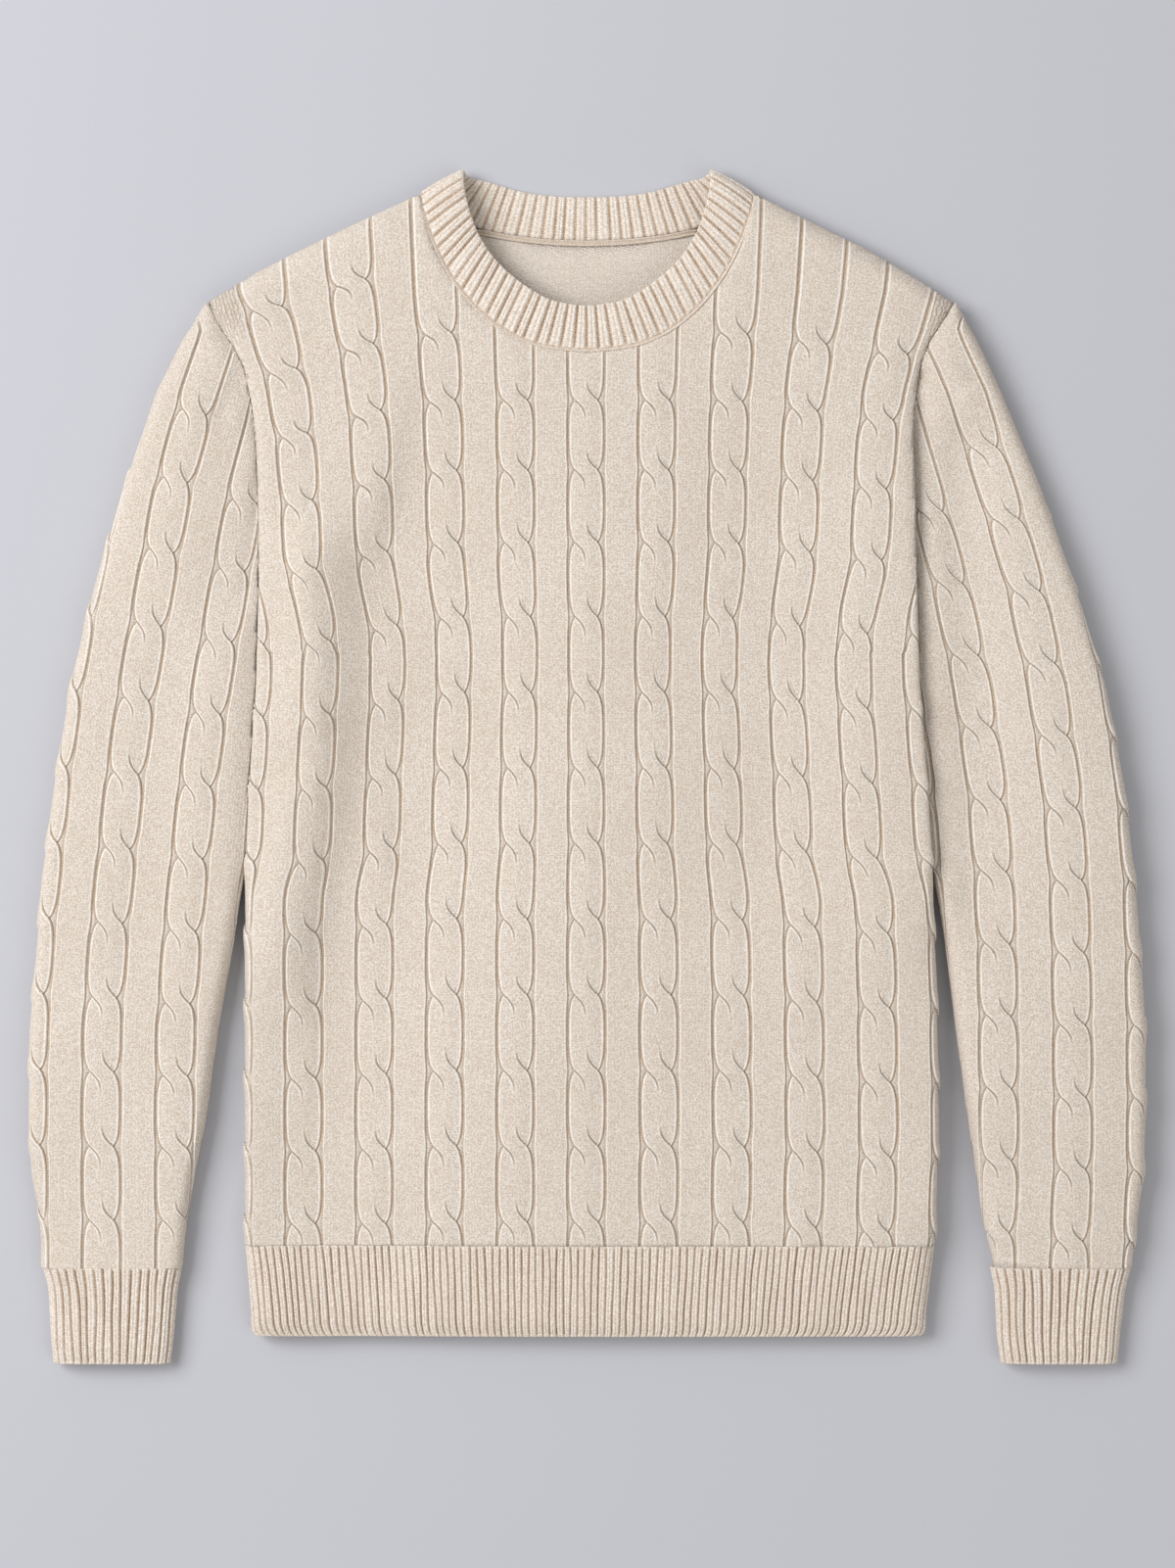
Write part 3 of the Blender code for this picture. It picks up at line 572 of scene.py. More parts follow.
@dataclass
class Shell:
    """Collects grids of points and makes one closed mesh of them."""

    name: str
    points: list[Array] = field(default_factory=list)
    marks: list[Array] = field(default_factory=list)
    quads: list[Array] = field(default_factory=list)
    triangles: list[tuple[int, int, int]] = field(default_factory=list)
    count: int = 0

    def grid(self, x: Array, y: Array, z: Array, relief: Relief, inward: bool) -> Array:
        """Adds a grid of points as quads.

        Args:
            x: Coordinates, rows by columns.
            y: As x.
            z: As x.
            relief: The knit at each point.
            inward: Whether the faces turn the other way.

        Returns:
            The index of each point.
        """
        x, y, z = np.broadcast_arrays(x, y, z)
        rows, columns = x.shape
        index = np.arange(self.count, self.count + rows * columns).reshape(rows, columns)
        self.count += rows * columns
        self.points.append(np.stack([x, y, z], axis=-1).reshape(-1, 3))
        parts = [np.broadcast_to(part, x.shape) for part in
                 (relief.wale, relief.course, relief.outline, relief.bank, relief.crease,
                  relief.gutter, relief.purl, relief.crossing, relief.fine)]
        self.marks.append(np.stack(parts, axis=-1).reshape(-1, len(parts)))
        corners = [index[:-1, :-1], index[:-1, 1:], index[1:, 1:], index[1:, :-1]]
        if inward:
            corners = corners[::-1]
        self.quads.append(np.stack(corners, axis=-1).reshape(-1, 4))
        return index

    def strip(self, outer: Array, inner: Array, shared: list[int], flip: bool) -> None:
        """Joins an outer edge line to a coarser inner one.

        Args:
            outer: Point indexes of the outer line.
            inner: Point indexes of the inner line.
            shared: The place in the outer line of each inner point.
            flip: Whether the faces turn the other way.
        """
        for step in range(len(shared) - 1):
            start, end = shared[step], shared[step + 1]
            middle = (start + end) // 2
            near, far = int(inner[step]), int(inner[step + 1])
            faces = [(int(outer[i]), int(outer[i + 1]), near) for i in range(start, middle)]
            faces.append((near, int(outer[middle]), far))
            faces += [(int(outer[i]), int(outer[i + 1]), far) for i in range(middle, end)]
            self.triangles += [face[::-1] if flip else face for face in faces]

    def wall(self, face: Face, shape: tuple[int, int], every: tuple[int, int],
             material: Material, drape: "Drape | None" = None) -> Object:
        """Makes a closed wall of an outer face and a coarser inner one.

        Args:
            face: Gives a face on some rows and columns, the inner one where it is told so.
            shape: How many rows and columns the outer face has.
            every: Steps from row to row and from column to column of the inner face.
            material: The wall's finish.
            drape: Soft creases to add, if any.

        Returns:
            The object.
        """
        outer = self.grid(*face(*(some_lines(count, 1) for count in shape), False), False)
        rows, columns = (some_lines(count, step) for count, step in zip(shape, every))
        inner = self.grid(*face(rows, columns, True), True)
        self.strip(outer[0], inner[0], columns, True)
        self.strip(outer[-1], inner[-1], columns, False)
        self.strip(outer[:, 0], inner[:, 0], rows, False)
        self.strip(outer[:, -1], inner[:, -1], rows, True)
        return self.make(material, drape)

    def make(self, material: Material, drape: "Drape | None" = None) -> Object:
        """The finished mesh object, in metres.

        Args:
            material: Its finish.
            drape: Soft creases to add, if any.

        Returns:
            The object, with its stitch coordinates as a UV map, its distances from the cables'
            edges as the attribute "edges", gutter, purl and crossing as the attribute "knit",
            and the fine lines as the attribute "fine".
        """
        points = np.concatenate(self.points)
        marks = np.concatenate(self.marks)
        if drape is not None:
            points = drape.laid(points)
        mesh = bpy.data.meshes.new(self.name)
        quads = np.concatenate(self.quads)
        mesh.from_pydata((points * MM).tolist(), [], quads.tolist() + self.triangles)
        for name, first in (("edges", 2), ("knit", 5)):
            layer = mesh.attributes.new(name, "FLOAT_VECTOR", "POINT")
            layer.data.foreach_set("vector", marks[:, first:first + 3].astype(np.float32).ravel())
        layer = mesh.attributes.new("fine", "FLOAT", "POINT")
        layer.data.foreach_set("value", marks[:, 8].astype(np.float32))
        corners = np.empty(len(mesh.loops), np.int32)
        mesh.loops.foreach_get("vertex_index", corners)
        layer = mesh.uv_layers.new(name="Stitches")
        layer.data.foreach_set("uv", marks[corners, :2].astype(np.float32).ravel())
        model = bmesh.new()
        model.from_mesh(mesh)
        bmesh.ops.remove_doubles(model, verts=model.verts[:], dist=CLOTH.weld * MM)
        bmesh.ops.dissolve_degenerate(model, edges=model.edges[:], dist=0.25 * CLOTH.weld * MM)
        if model.calc_volume(signed=True) < 0.0:
            bmesh.ops.reverse_faces(model, faces=model.faces[:])
        model.to_mesh(mesh)
        model.free()
        mesh.shade_smooth()
        mesh.materials.append(material)
        return linked(self.name, mesh)


@dataclass(frozen=True)
class Crease:
    """A soft trough or ridge between two points of the upper cloth.

    Attributes:
        start: First end, x and y.
        end: Second end, x and y.
        widths: Half widths on its left and right, walking from start to end.
        rise: Height of its middle, below 0 for a trough.
    """

    start: Pair
    end: Pair
    widths: Pair
    rise: float


@dataclass
class Drape:
    """Uneven lie of the upper cloth: soft creases placed one by one and a slight waviness."""

    creases: tuple[Crease, ...]
    free_from: float = 9.0
    free_at: float = 16.0
    wave: float = 0.35
    wave_cell: float = 55.0
    deepest: float = 13.0
    side_blend: float = 12.0

    def lift(self, x: Array, y: Array) -> Array:
        """How much higher the upper cloth lies.

        Args:
            x: x of each place.
            y: y of each place.

        Returns:
            The lift there.
        """
        total = self.wave * smooth_noise(x, y, self.wave_cell, SEED)
        for crease in self.creases:
            ax, ay = crease.start
            bx, by = crease.end
            run = np.hypot(bx - ax, by - ay)
            share = ((x - ax) * (bx - ax) + (y - ay) * (by - ay)) / run ** 2
            held = np.clip(share, 0.0, 1.0)
            away = np.hypot(x - ax - held * (bx - ax), y - ay - held * (by - ay))
            turn = ((bx - ax) * (y - ay) - (by - ay) * (x - ax)) / (run * self.side_blend)
            left = 0.5 + 0.5 * np.tanh(turn)
            width = crease.widths[0] * left + crease.widths[1] * (1.0 - left)
            total = total + crease.rise * np.exp(-(away / width) ** 2)
        return np.where(total < 0.0, self.deepest * np.tanh(total / self.deepest), total)

    def laid(self, points: Array) -> Array:
        """The points with the creases added to the upper cloth."""
        free = smooth_step(points[:, 2:], self.free_from, self.free_at)
        return points + free * self.lift(points[:, :1], points[:, 1:2]) * (0.0, 0.0, 1.0)


# ---- finishes


class Graph:
    """A small helper that adds and joins nodes in one tree."""

    def __init__(self, tree: Tree) -> None:
        """Keeps the tree."""
        self.tree = tree

    @classmethod
    def group(cls, name: str, kind: str, inputs: dict[str, str],
              outputs: dict[str, str]) -> "Graph":
        """Starts a node group.

        Args:
            name: Its name.
            kind: Shader or Geometry.
            inputs: The kind of each named input.
            outputs: The kind of each named output.

        Returns:
            The group's graph.
        """
        tree = bpy.data.node_groups.new(name, kind + "NodeTree")
        for way, sockets in (("INPUT", inputs), ("OUTPUT", outputs)):
            for label, socket in sockets.items():
                tree.interface.new_socket(name=label, in_out=way, socket_type="NodeSocket" + socket)
        return cls(tree)

    def fill(self, node: bpy.types.Node, **inputs: object) -> None:
        """Sets or joins inputs of a node.

        Args:
            node: The node.
            inputs: Values or sockets for its inputs; an underscore stands for a space, and iN
                for input number N.
        """
        for name, value in inputs.items():
            key = int(name[1:]) if name[0] == "i" and name[1:].isdigit() else name.replace("_", " ")
            if isinstance(value, Socket):
                self.tree.links.new(value, node.inputs[key])
            else:
                node.inputs[key].default_value = value

    def add(self, kind: str, settings: dict | None = None, **inputs: object) -> bpy.types.Node:
        """Adds a node.

        Args:
            kind: The node's type.
            settings: Properties to set.
            inputs: What fill takes.

        Returns:
            The node.
        """
        node = self.tree.nodes.new(kind)
        for name, value in (settings or {}).items():
            setattr(node, name, value)
        self.fill(node, **inputs)
        return node

    def noise(self, place: Socket, **inputs: object) -> bpy.types.NodeOutputs:
        """The outputs of a flat noise."""
        return self.add("ShaderNodeTexNoise", {"noise_dimensions": "2D"}, Vector=place,
                        **inputs).outputs

    def math(self, operation: str, a: object, b: object = 0.0, c: object = 0.0,
             clamp: bool = False) -> Socket:
        """One Math node's result."""
        return self.add("ShaderNodeMath", {"operation": operation, "use_clamp": clamp},
                        i0=a, i1=b, i2=c).outputs[0]

    def times(self, *parts: object) -> Socket:
        """The product of two values or more."""
        return reduce(partial(self.math, "MULTIPLY"), parts)

    def most(self, *parts: object) -> Socket:
        """The largest of two values or more."""
        return reduce(partial(self.math, "MAXIMUM"), parts)

    def line(self, value: object, slope: object, start: object) -> Socket:
        """A value times a slope, and a start added."""
        return self.math("MULTIPLY_ADD", value, slope, start)

    def mix(self, share: object, a: object, b: object) -> Socket:
        """A colour between two colours."""
        return self.add("ShaderNodeMix", {"data_type": "RGBA"}, i0=share, i6=a, i7=b).outputs[2]

    def wave(self, value: object, operation: str = "SINE") -> Socket:
        """A wave from 0 to 1 that repeats with each whole number."""
        return self.line(self.math(operation, self.times(value, FULL_TURN)), 0.5, 0.5)

    def axes(self, vector: Socket) -> bpy.types.NodeOutputs:
        """The three parts of a vector."""
        return self.add("ShaderNodeSeparateXYZ", Vector=vector).outputs

    def bell(self, value: object, middle: float, width: float) -> Socket:
        """1 where a value is at the middle, falling off to nothing within twice the width."""
        away = self.math("DIVIDE", self.math("SUBTRACT", value, middle), width)
        return self.math("EXPONENT", self.times(away, away, -1.0))

    def ranged(self, value: object, low: float, high: float, to_low: float = 0.0,
               to_high: float = 1.0) -> Socket:
        """A value carried from one range to another and held inside it."""
        return self.add("ShaderNodeMapRange", {"interpolation_type": "SMOOTHSTEP"}, i0=value,
                        i1=low, i2=high, i3=to_low, i4=to_high).outputs[0]


def knit_group() -> Tree:
    """Stitches of fine jersey: V-shaped plain stitches, or bars where the knit is purl.

    Returns:
        A group with a stitch height, which the finish also paints as shade and highlight, and the
        wales over the surface.
    """
    graph = Graph.group("Fine knit stitches", "Shader",
                        {"Stitches": "Vector", "Purl": "Float", "Wander": "Float",
                         "Wale depth": "Float"}, {"Height": "Float", "Wale": "Float"})
    given = graph.add("NodeGroupInput").outputs
    stray = graph.noise(given["Stitches"], Scale=0.55, Detail=3.0, Roughness=0.7)
    shift = graph.add("ShaderNodeVectorMath", {"operation": "SUBTRACT"}, i0=stray["Color"],
                      i1=(0.5, 0.5, 0.5))
    moved = graph.add("ShaderNodeVectorMath", {"operation": "SCALE"}, i0=shift.outputs[0],
                      Scale=given["Wander"])
    place = graph.add("ShaderNodeVectorMath", {"operation": "ADD"}, i0=given["Stitches"],
                      i1=moved.outputs[0])
    across, along, _ = graph.axes(place.outputs[0])
    within = graph.math("SUBTRACT", graph.math("FRACT", across), 0.5)
    arm = graph.math("ABSOLUTE", within)
    wale = graph.wave(within, "COSINE")
    vee = graph.wave(graph.line(arm, 1.1, along))
    plain = graph.times(graph.line(vee, 0.55, 0.45), graph.ranged(arm, 0.0, 0.16), 0.6)
    plain = graph.math("ADD", plain, graph.times(wale, given["Wale depth"]))
    bar = graph.times(graph.wave(graph.line(across, 0.35, along)), graph.line(wale, 0.35, 0.65))
    height = graph.add("ShaderNodeMix", {"data_type": "FLOAT"}, i0=given["Purl"], i2=plain, i3=bar)
    graph.add("NodeGroupOutput", Height=height.outputs[0], Wale=wale)
    return graph.tree


def edge_group() -> Tree:
    """The thin lines round a cable: painted shade in its gutter, creases and rib gaps, and a
    painted highlight on its proud edges.

    Returns:
        A group with the painted shade, the painted highlight of the proud edges, and their bump
        height.
    """
    graph = Graph.group("Cable edges", "Shader",
                        {"Edges": "Vector", "Knit": "Vector", "Stitches": "Vector"},
                        {"Dark": "Float", "Proud": "Float", "Height": "Float"})
    given = graph.add("NodeGroupInput").outputs
    ragged = graph.noise(given["Stitches"], Scale=0.9, Detail=2.0, Roughness=0.6)[0]
    ragged = graph.math("SUBTRACT", ragged, 0.5)
    crumbs = graph.noise(given["Stitches"], Scale=2.6, Detail=2.0, Roughness=0.7)[0]
    edges = graph.axes(given["Edges"])
    rib_gap, purl, crossing = graph.axes(given["Knit"])
    outline = graph.line(ragged, 0.5, edges[0])
    bank = graph.line(ragged, -0.7, edges[1])
    crease = graph.line(ragged, 0.3, edges[2])

    rungs = graph.math("SINE", graph.times(graph.axes(given["Stitches"])[1], FULL_TURN))
    rungs = graph.math("ADD", graph.line(rungs, 0.18, 0.72),
                       graph.ranged(crumbs, 0.35, 0.65, -0.3, 0.4))
    # Painted shade: in the channel beside the cable, along the crease at a crossing, softly round
    # the outline, and in rib gaps.
    out = graph.ranged(outline, -0.2, 0.15)
    within = graph.math("SUBTRACT", 1.0, out)
    channel = graph.times(out, graph.ranged(bank, -0.3, 0.05, 1.0, 0.0))
    beside = graph.times(graph.bell(bank, -0.35, 0.3), 0.6)
    floor = graph.most(graph.bell(outline, 0.35, 0.4), beside, graph.line(purl, -0.6, 0.72))
    gutter = graph.times(channel, floor, rungs)
    fold = graph.times(graph.bell(crease, 0.2, 0.55), crossing, within)
    soft = graph.times(graph.bell(outline, 0.3, 1.0), 0.2)
    painted_shade = graph.most(gutter, graph.times(fold, 0.9), soft)
    painted_shade = graph.most(graph.times(painted_shade, 1.05), graph.times(rib_gap, rungs, 1.05))

    # Painted highlight on the proud edges of the cable, its channel's bank and beside the crease;
    # the same mask also raises them as a bump.
    strand = graph.most(graph.bell(crease, -0.9, 0.5), graph.bell(crease, 1.2, 0.5))
    highlight_lips = graph.most(graph.bell(outline, -0.85, 0.6), graph.times(graph.bell(bank, 0.6, 0.5), 0.7),
                      graph.times(strand, crossing, within))
    proud = graph.math("MULTIPLY", highlight_lips, graph.line(ragged, 0.9, 1.0), clamp=True)
    graph.add("NodeGroupOutput", Dark=painted_shade, Proud=proud, Height=graph.line(fold, -0.35, proud))
    return graph.tree


def fibre_group() -> Tree:
    """The yarn's own unevenness: soft speckle, stray fibres and slow changes of tone.

    Returns:
        A group with a fibre height, a speckle and a slow tone over the surface.
    """
    graph = Graph.group("Wool fibre", "Shader", {"Place": "Vector", "Speckle size": "Float"},
                        {"Height": "Float", "Speckle": "Float", "Tone": "Float"})
    given = graph.add("NodeGroupInput").outputs
    turned = graph.add("ShaderNodeVectorRotate", {"rotation_type": "EULER_XYZ"},
                       Vector=given["Place"], Rotation=(0.35, 0.25, 0.62)).outputs[0]
    speckle = graph.add("ShaderNodeTexNoise", Vector=turned, Scale=given["Speckle size"],
                        Detail=1.0, Roughness=0.6, Distortion=0.5).outputs[0]
    fibre = graph.add("ShaderNodeTexNoise", Vector=turned, Scale=2600.0, Detail=2.0,
                      Roughness=0.7, Distortion=1.2).outputs[0]
    tone = graph.add("ShaderNodeTexNoise", Vector=given["Place"], Scale=16.0, Detail=2.0)
    graph.add("NodeGroupOutput", Height=graph.line(fibre, 0.5, speckle), Speckle=speckle,
              Tone=tone.outputs[0])
    return graph.tree


def shaded(name: str) -> tuple[Material, Graph, bpy.types.Node]:
    """A new material, its graph and its main shader node."""
    material = bpy.data.materials.new(name)
    material.use_nodes = True
    return material, Graph(material.node_tree), material.node_tree.nodes["Principled BSDF"]


@dataclass(frozen=True)
class Wool:
    """A matt oatmeal wool finish.

    Attributes:
        name: The material's name.
        light: The yarn's middle colour.
        bright: Light colour of the yarn's speckle, also painted as highlight on stitch tops and to
            lighten purl faces.
        shade: Dark colour of the yarn's speckle and slow tone, also painted as shade between
            stitches and in the lines between wales.
        rim: Painted highlight colour on the proud edges of a cable.
        deep: Painted shade colour in the gutters, creases and rib gaps.
        stitch_depth: Strength of the stitch relief.
        wander: How far stitches stray from a plain grid.
        wale_depth: How deep the lines between wales are.
        sheen: Strength of the soft halo of fibres.
        edge_highlight: Strength of the painted highlight on the proud edges of a cable.
        edge_height: How high they stand, in metres.
        speckle_size: How many specks of fibre a metre has.
    """

    name: str
    light: tuple[float, float, float] = (0.745, 0.656, 0.568)
    bright: tuple[float, float, float] = (0.880, 0.806, 0.730)
    shade: tuple[float, float, float] = (0.565, 0.462, 0.366)
    rim: tuple[float, float, float] = (0.99, 0.945, 0.885)
    deep: tuple[float, float, float] = (0.400, 0.252, 0.132)
    stitch_depth: float = 0.7
    wander: float = 1.7
    wale_depth: float = 0.45
    sheen: float = 0.12
    edge_highlight: float = 0.95
    edge_height: float = 0.00028
    speckle_size: float = 1050.0

    def build(self, groups: "Groups") -> Material:
        """The finished material.

        Args:
            groups: The shared shader groups.

        Returns:
            The material, read by the piece's stitch map, its edge attributes and its place.
        """
        material, graph, shader = shaded(self.name)
        uv = graph.add("ShaderNodeUVMap", {"uv_map": "Stitches"}).outputs[0]
        place = graph.add("ShaderNodeTexCoord").outputs["Object"]
        marks, edges = (graph.add("ShaderNodeAttribute", {"attribute_name": name}).outputs["Vector"]
                        for name in ("knit", "edges"))
        fine = graph.add("ShaderNodeAttribute", {"attribute_name": "fine"}).outputs["Fac"]
        purl = graph.axes(marks)[1]
        depth = graph.line(fine, 1.6, self.wale_depth)
        knit = graph.add("ShaderNodeGroup", {"node_tree": groups.stitches}, Stitches=uv, Purl=purl,
                         Wander=self.wander, Wale_depth=depth).outputs
        yarn = graph.add("ShaderNodeGroup", {"node_tree": groups.fibre}, Place=place,
                         Speckle_size=self.speckle_size).outputs
        lines = graph.add("ShaderNodeGroup", {"node_tree": groups.edges}, Edges=edges, Knit=marks,
                          Stitches=uv).outputs

        light, bright, shade, rim, deep = (
            (*part, 1.0) for part in (self.light, self.bright, self.shade, self.rim, self.deep))
        base = graph.mix(graph.ranged(yarn["Speckle"], 0.40, 0.60), shade, bright)
        # Painted shade between the stitches and painted highlight on their tops, set by the stitch
        # height.
        stitch = graph.ranged(knit["Height"], 0.1, 0.75)
        base = graph.mix(0.3, base, graph.mix(stitch, shade, bright))
        base = graph.mix(graph.ranged(yarn["Tone"], 0.35, 0.65, 0.0, 0.12), base, shade)
        base = graph.mix(0.1, base, light)
        # Purl faces are painted lighter; this lifts the shaded inside of the back and the purl in
        # the channels.
        base = graph.mix(graph.times(purl, 0.35), base, bright)
        # Painted shade in the lines between wales, where fine lines show.
        wales = graph.times(graph.math("SUBTRACT", 1.0, knit["Wale"]), fine, 0.7)
        base = graph.mix(wales, base, shade)
        # Painted highlight on the proud edges of the cable.
        base = graph.mix(graph.times(lines["Proud"], self.edge_highlight), base, rim)
        # Painted shade in the gutters, creases and rib gaps.
        base = graph.mix(graph.math("MULTIPLY", lines["Dark"], 0.85, clamp=True), base, deep)

        fibres = graph.add("ShaderNodeBump", Strength=0.35, Distance=0.0004, Height=yarn["Height"])
        bump = graph.add("ShaderNodeBump", Strength=self.stitch_depth, Distance=0.0006,
                         Height=knit["Height"], Normal=fibres.outputs[0])
        raised = graph.add("ShaderNodeBump", Strength=1.0, Distance=self.edge_height,
                           Height=lines["Height"], Normal=bump.outputs[0])
        graph.fill(shader, Base_Color=base, Normal=raised.outputs[0], Sheen_Weight=self.sheen,
                   Sheen_Roughness=0.5, Specular_IOR_Level=0.2,
                   Roughness=graph.ranged(yarn["Speckle"], 0.3, 0.7, 0.88, 0.97))
        return material


@dataclass(frozen=True)
class Knits:
    """The finishes of the garment."""

    jersey: Material
    ribbing: Material
    yarn: Material


@dataclass(frozen=True)
class Groups:
    """The shader groups that the finishes share."""

    stitches: Tree
    edges: Tree
    fibre: Tree


# ---- body


def mirrored(half: Table) -> Table:
    """A whole line from its left half, given from the end to the middle."""
    return (*((-x, y) for x, y in half), *half[-2::-1])


CABLE_PLACES = (0.0, 1.7, 3.4, 5.0, 6.4, 7.6, 8.6, 9.35, 9.85, 10.2, 10.4, 10.5, 11.0, 11.5, 12.0,
                12.12, 12.3, 12.55, 13.2, 14.8, 17.8, 21.3)
ROW_PLACES = (0.0, 0.035, 0.07, 0.11, 0.155, 0.205, 0.27, 0.36, 0.5, 0.64, 0.73, 0.795, 0.845, 0.89,
              0.93, 0.965)


def column_places(first: float, last: float,
                  places: tuple[float, ...] = CABLE_PLACES) -> Array:
    """Grid columns, in pitches, that are close together where a cable has its edges.

    Args:
        first: First column.
        last: Last column.
        places: Offsets from a cable's middle up to half a pitch, in millimetres.

    Returns:
        The columns from first to last.
    """
    half = np.array(places) / CABLE.pitch
    one = np.concatenate([-half[::-1], half[1:]])
    cables = np.arange(np.floor(first) - 1, np.ceil(last) + 2)
    every = np.unique(np.round((cables[:, None] + one[None, :]).ravel(), 6))
    every = every[(every > first + 1e-4) & (every < last - 1e-4)]
    return np.concatenate([[first], every, [last]])


def row_places(first: float, last: float, places: tuple[float, ...] = ROW_PLACES) -> Array:
    """Grid rows that are close together at each crossing.

    Args:
        first: First row, in crossings.
        last: Last row.
        places: Rows within one crossing.

    Returns:
        The rows from first to last.
    """
    rows = (np.arange(np.floor(first) - 1, np.ceil(last) + 1)[:, None] + np.array(places)).ravel()
    rows = rows[(rows > first + 1e-3) & (rows < last - 1e-3)]
    return np.concatenate([[first], rows, [last]])


@dataclass
class Body:
    """The front and back panels and the ribbed hem."""

    knits: Knits
    drape: Drape
    cables: int = 5
    samples: int = 801
    rounds: int = 30
    middle_x: float = -0.4
    top: float = 19.5
    crown: float = 2.5
    side_z: float = 9.0
    side_round: float = 13.0
    top_side_round: float = 6.5
    hem_joint_y: float = -293.1
    first_crossing_y: float = -278.1
    tightening: float = 0.72
    tight_from: float = 8.0
    last_crossing: float = 15.0
    underarm_y: float = 70.0
    underarm_flat: Pair = (-30.0, 40.0)
    pitch_settled: float = 60.0
    armhole_settled_y: float = 175.0
    armhole_drop: float = 2.0
    armhole_round: float = 4.5
    touches_sleeve: Pair = (-85.0, -50.0)
    side_lift: float = 8.2
    back_lift: float = 4.2
    neck_dip: float = 1.1
    neck_dip_reach: float = 7.0
    edge_fade: float = 5.0
    side_fade: float = 4.0
    back_fade: float = 8.0
    corner_round: float = 26.0
    corner_x: float = 126.0
    fine_columns: Pair = (4.25, 4.33)
    fine_reach: Pair = (10.0, 46.0)
    shoulder_round: float = 12.0
    shoulder_front_z: float = 13.0
    shoulder_back_z: float = 5.0
    neck_corner_x: float = 103.0
    hem_bottom_y: float = -348.9
    hem_ribs: int = 97
    hem_top: float = 17.5
    hem_lip_drop: float = 2.5
    hem_joint_drop: float = 0.1
    hem_corner: float = 6.0
    rib_depth: float = 1.7
    top_crossings: tuple[int, ...] = (13, 13, 13, 12, 11, 11, 11, 12, 12, 12, 12)
    lags: Table = (
        (-5, 1.8, 1.9), (-4, 1.8, 1.9), (-3, 2, 0.5), (-2, 0, 0), (2, 0, 0), (3, 3, 0.25),
        (4, 6, 0.6), (5, 6, 0.6))
    fan: Table = (
        (100, 0.06), (170, 0.30), (200, 0.45), (230, 0.72), (260, 1.20), (290, 1.68), (350, 2.2))
    edges: Table = (
        (-348.9, -206, 208), (-335, -206, 208), (-310, -208, 211), (-293.1, -209.7, 213.3),
        (-220.5, -209.7, 215.7), (-130.5, -209.7, 214.2), (-70.5, -209.4, 211.5),
        (-10.5, -206.7, 207.9), (49.5, -202.5, 203.1), (109.5, -200.7, 201.3),
        (169.5, -201.3, 200.1), (195.9, -202.5, 198.9), (218.7, -204.6, 199.5),
        (243.9, -209.7, 203.4), (259.5, -218.1, 209.1), (271.5, -226.5, 216.9),
        (284.7, -231.9, 225.3), (360, -231.9, 225.3))
    shoulder_left: Table = (
        (-231.9, 284.7), (-201.3, 303.3), (-173.1, 317.7), (-143.1, 332.1), (-103, 350.5))
    shoulder_right: Table = (
        (103, 350.5), (140.1, 332.1), (169.5, 317.7), (194.7, 303.3), (225.3, 283.5))
    front_neck: Table = (
        (102, 350), (99.4, 334.8), (93.5, 316.3), (83.4, 298.1), (69, 280.9), (52.2, 267.4),
        (33.6, 258.6), (16.9, 255.2), (0, 254))
    back_neck: Table = (
        (102, 350), (93, 344.7), (81, 336.3), (65.1, 328), (46.8, 324.7), (23.4, 322.1), (0, 321.3))

    def __post_init__(self) -> None:
        """Works out the laid layers."""
        self.front = Layer(-349.0, 362.0, 3.0, self.front_section)
        self.back = Layer(-349.0, 362.0, 3.0, self.back_section)
        self.middles = {layer: layer.length_at(lambda height: np.full_like(height, self.middle_x))
                        for layer in (self.front, self.back)}

    def edge_x(self, height: Array, side: Side) -> Array:
        """x of the body's edge at a height."""
        return read_line(height, self.edges, 1 if side is Side.RIGHT else 2)

    def ends(self, height: float) -> Pair:
        """x of both edges at a height."""
        return self.edge_x(height, Side.RIGHT), self.edge_x(height, Side.LEFT)

    def fold_z(self, height: Array, lift: float) -> Array:
        """Height above the surface of the side fold, lifted where the body lies on a sleeve."""
        return self.side_z + lift * smooth_step(height, *self.touches_sleeve)

    def edge_z(self, height: Array) -> Array:
        """Height above the surface of the front's outer edge: the side fold, then the armhole."""
        share = smooth_step(height, self.underarm_y, self.armhole_settled_y)
        low = self.fold_z(height, self.side_lift) + CLOTH.seam_gap / 2
        return low + share * (self.top - self.armhole_drop - low)

    def low_edge(self, height: float, fold_z: float, reach: float) -> Edge:
        """The edge of a bottom layer: up at the side fold, flat at the armhole.

        Args:
            height: y of the section.
            fold_z: Height of the side fold above the surface.
            reach: How far in the edge rounds off.

        Returns:
            The edge.
        """
        low, high = self.underarm_flat
        share = 1.0 - smooth_step(height, self.underarm_y + low, self.underarm_y + high)
        return Edge(fold_z * share, reach, share)

    def front_section(self, height: float) -> Section:
        """The front's outer line across the body at a height."""
        share = 1.0 - smooth_step(height, self.underarm_y, self.armhole_settled_y)
        joined = smooth_step(height, *self.touches_sleeve)
        reach = self.top_side_round + (self.armhole_round - self.top_side_round) * joined
        edge = Edge(self.edge_z(height), reach, share)
        return *self.ends(height), self.top, self.crown, edge, edge

    def back_section(self, height: float) -> Section:
        """The back's outer line, flat on the surface between its rounded sides."""
        fold = self.fold_z(height, self.back_lift) - CLOTH.seam_gap / 2
        edge = self.low_edge(height, fold, self.side_round)
        return *self.ends(height), 0.0, 0.0, edge, edge

    def top_line(self, x: Array, neck: Table) -> Array:
        """Height of the shoulder and neck line over x."""
        return read_line(x, (*self.shoulder_left, *mirrored(neck), *self.shoulder_right))

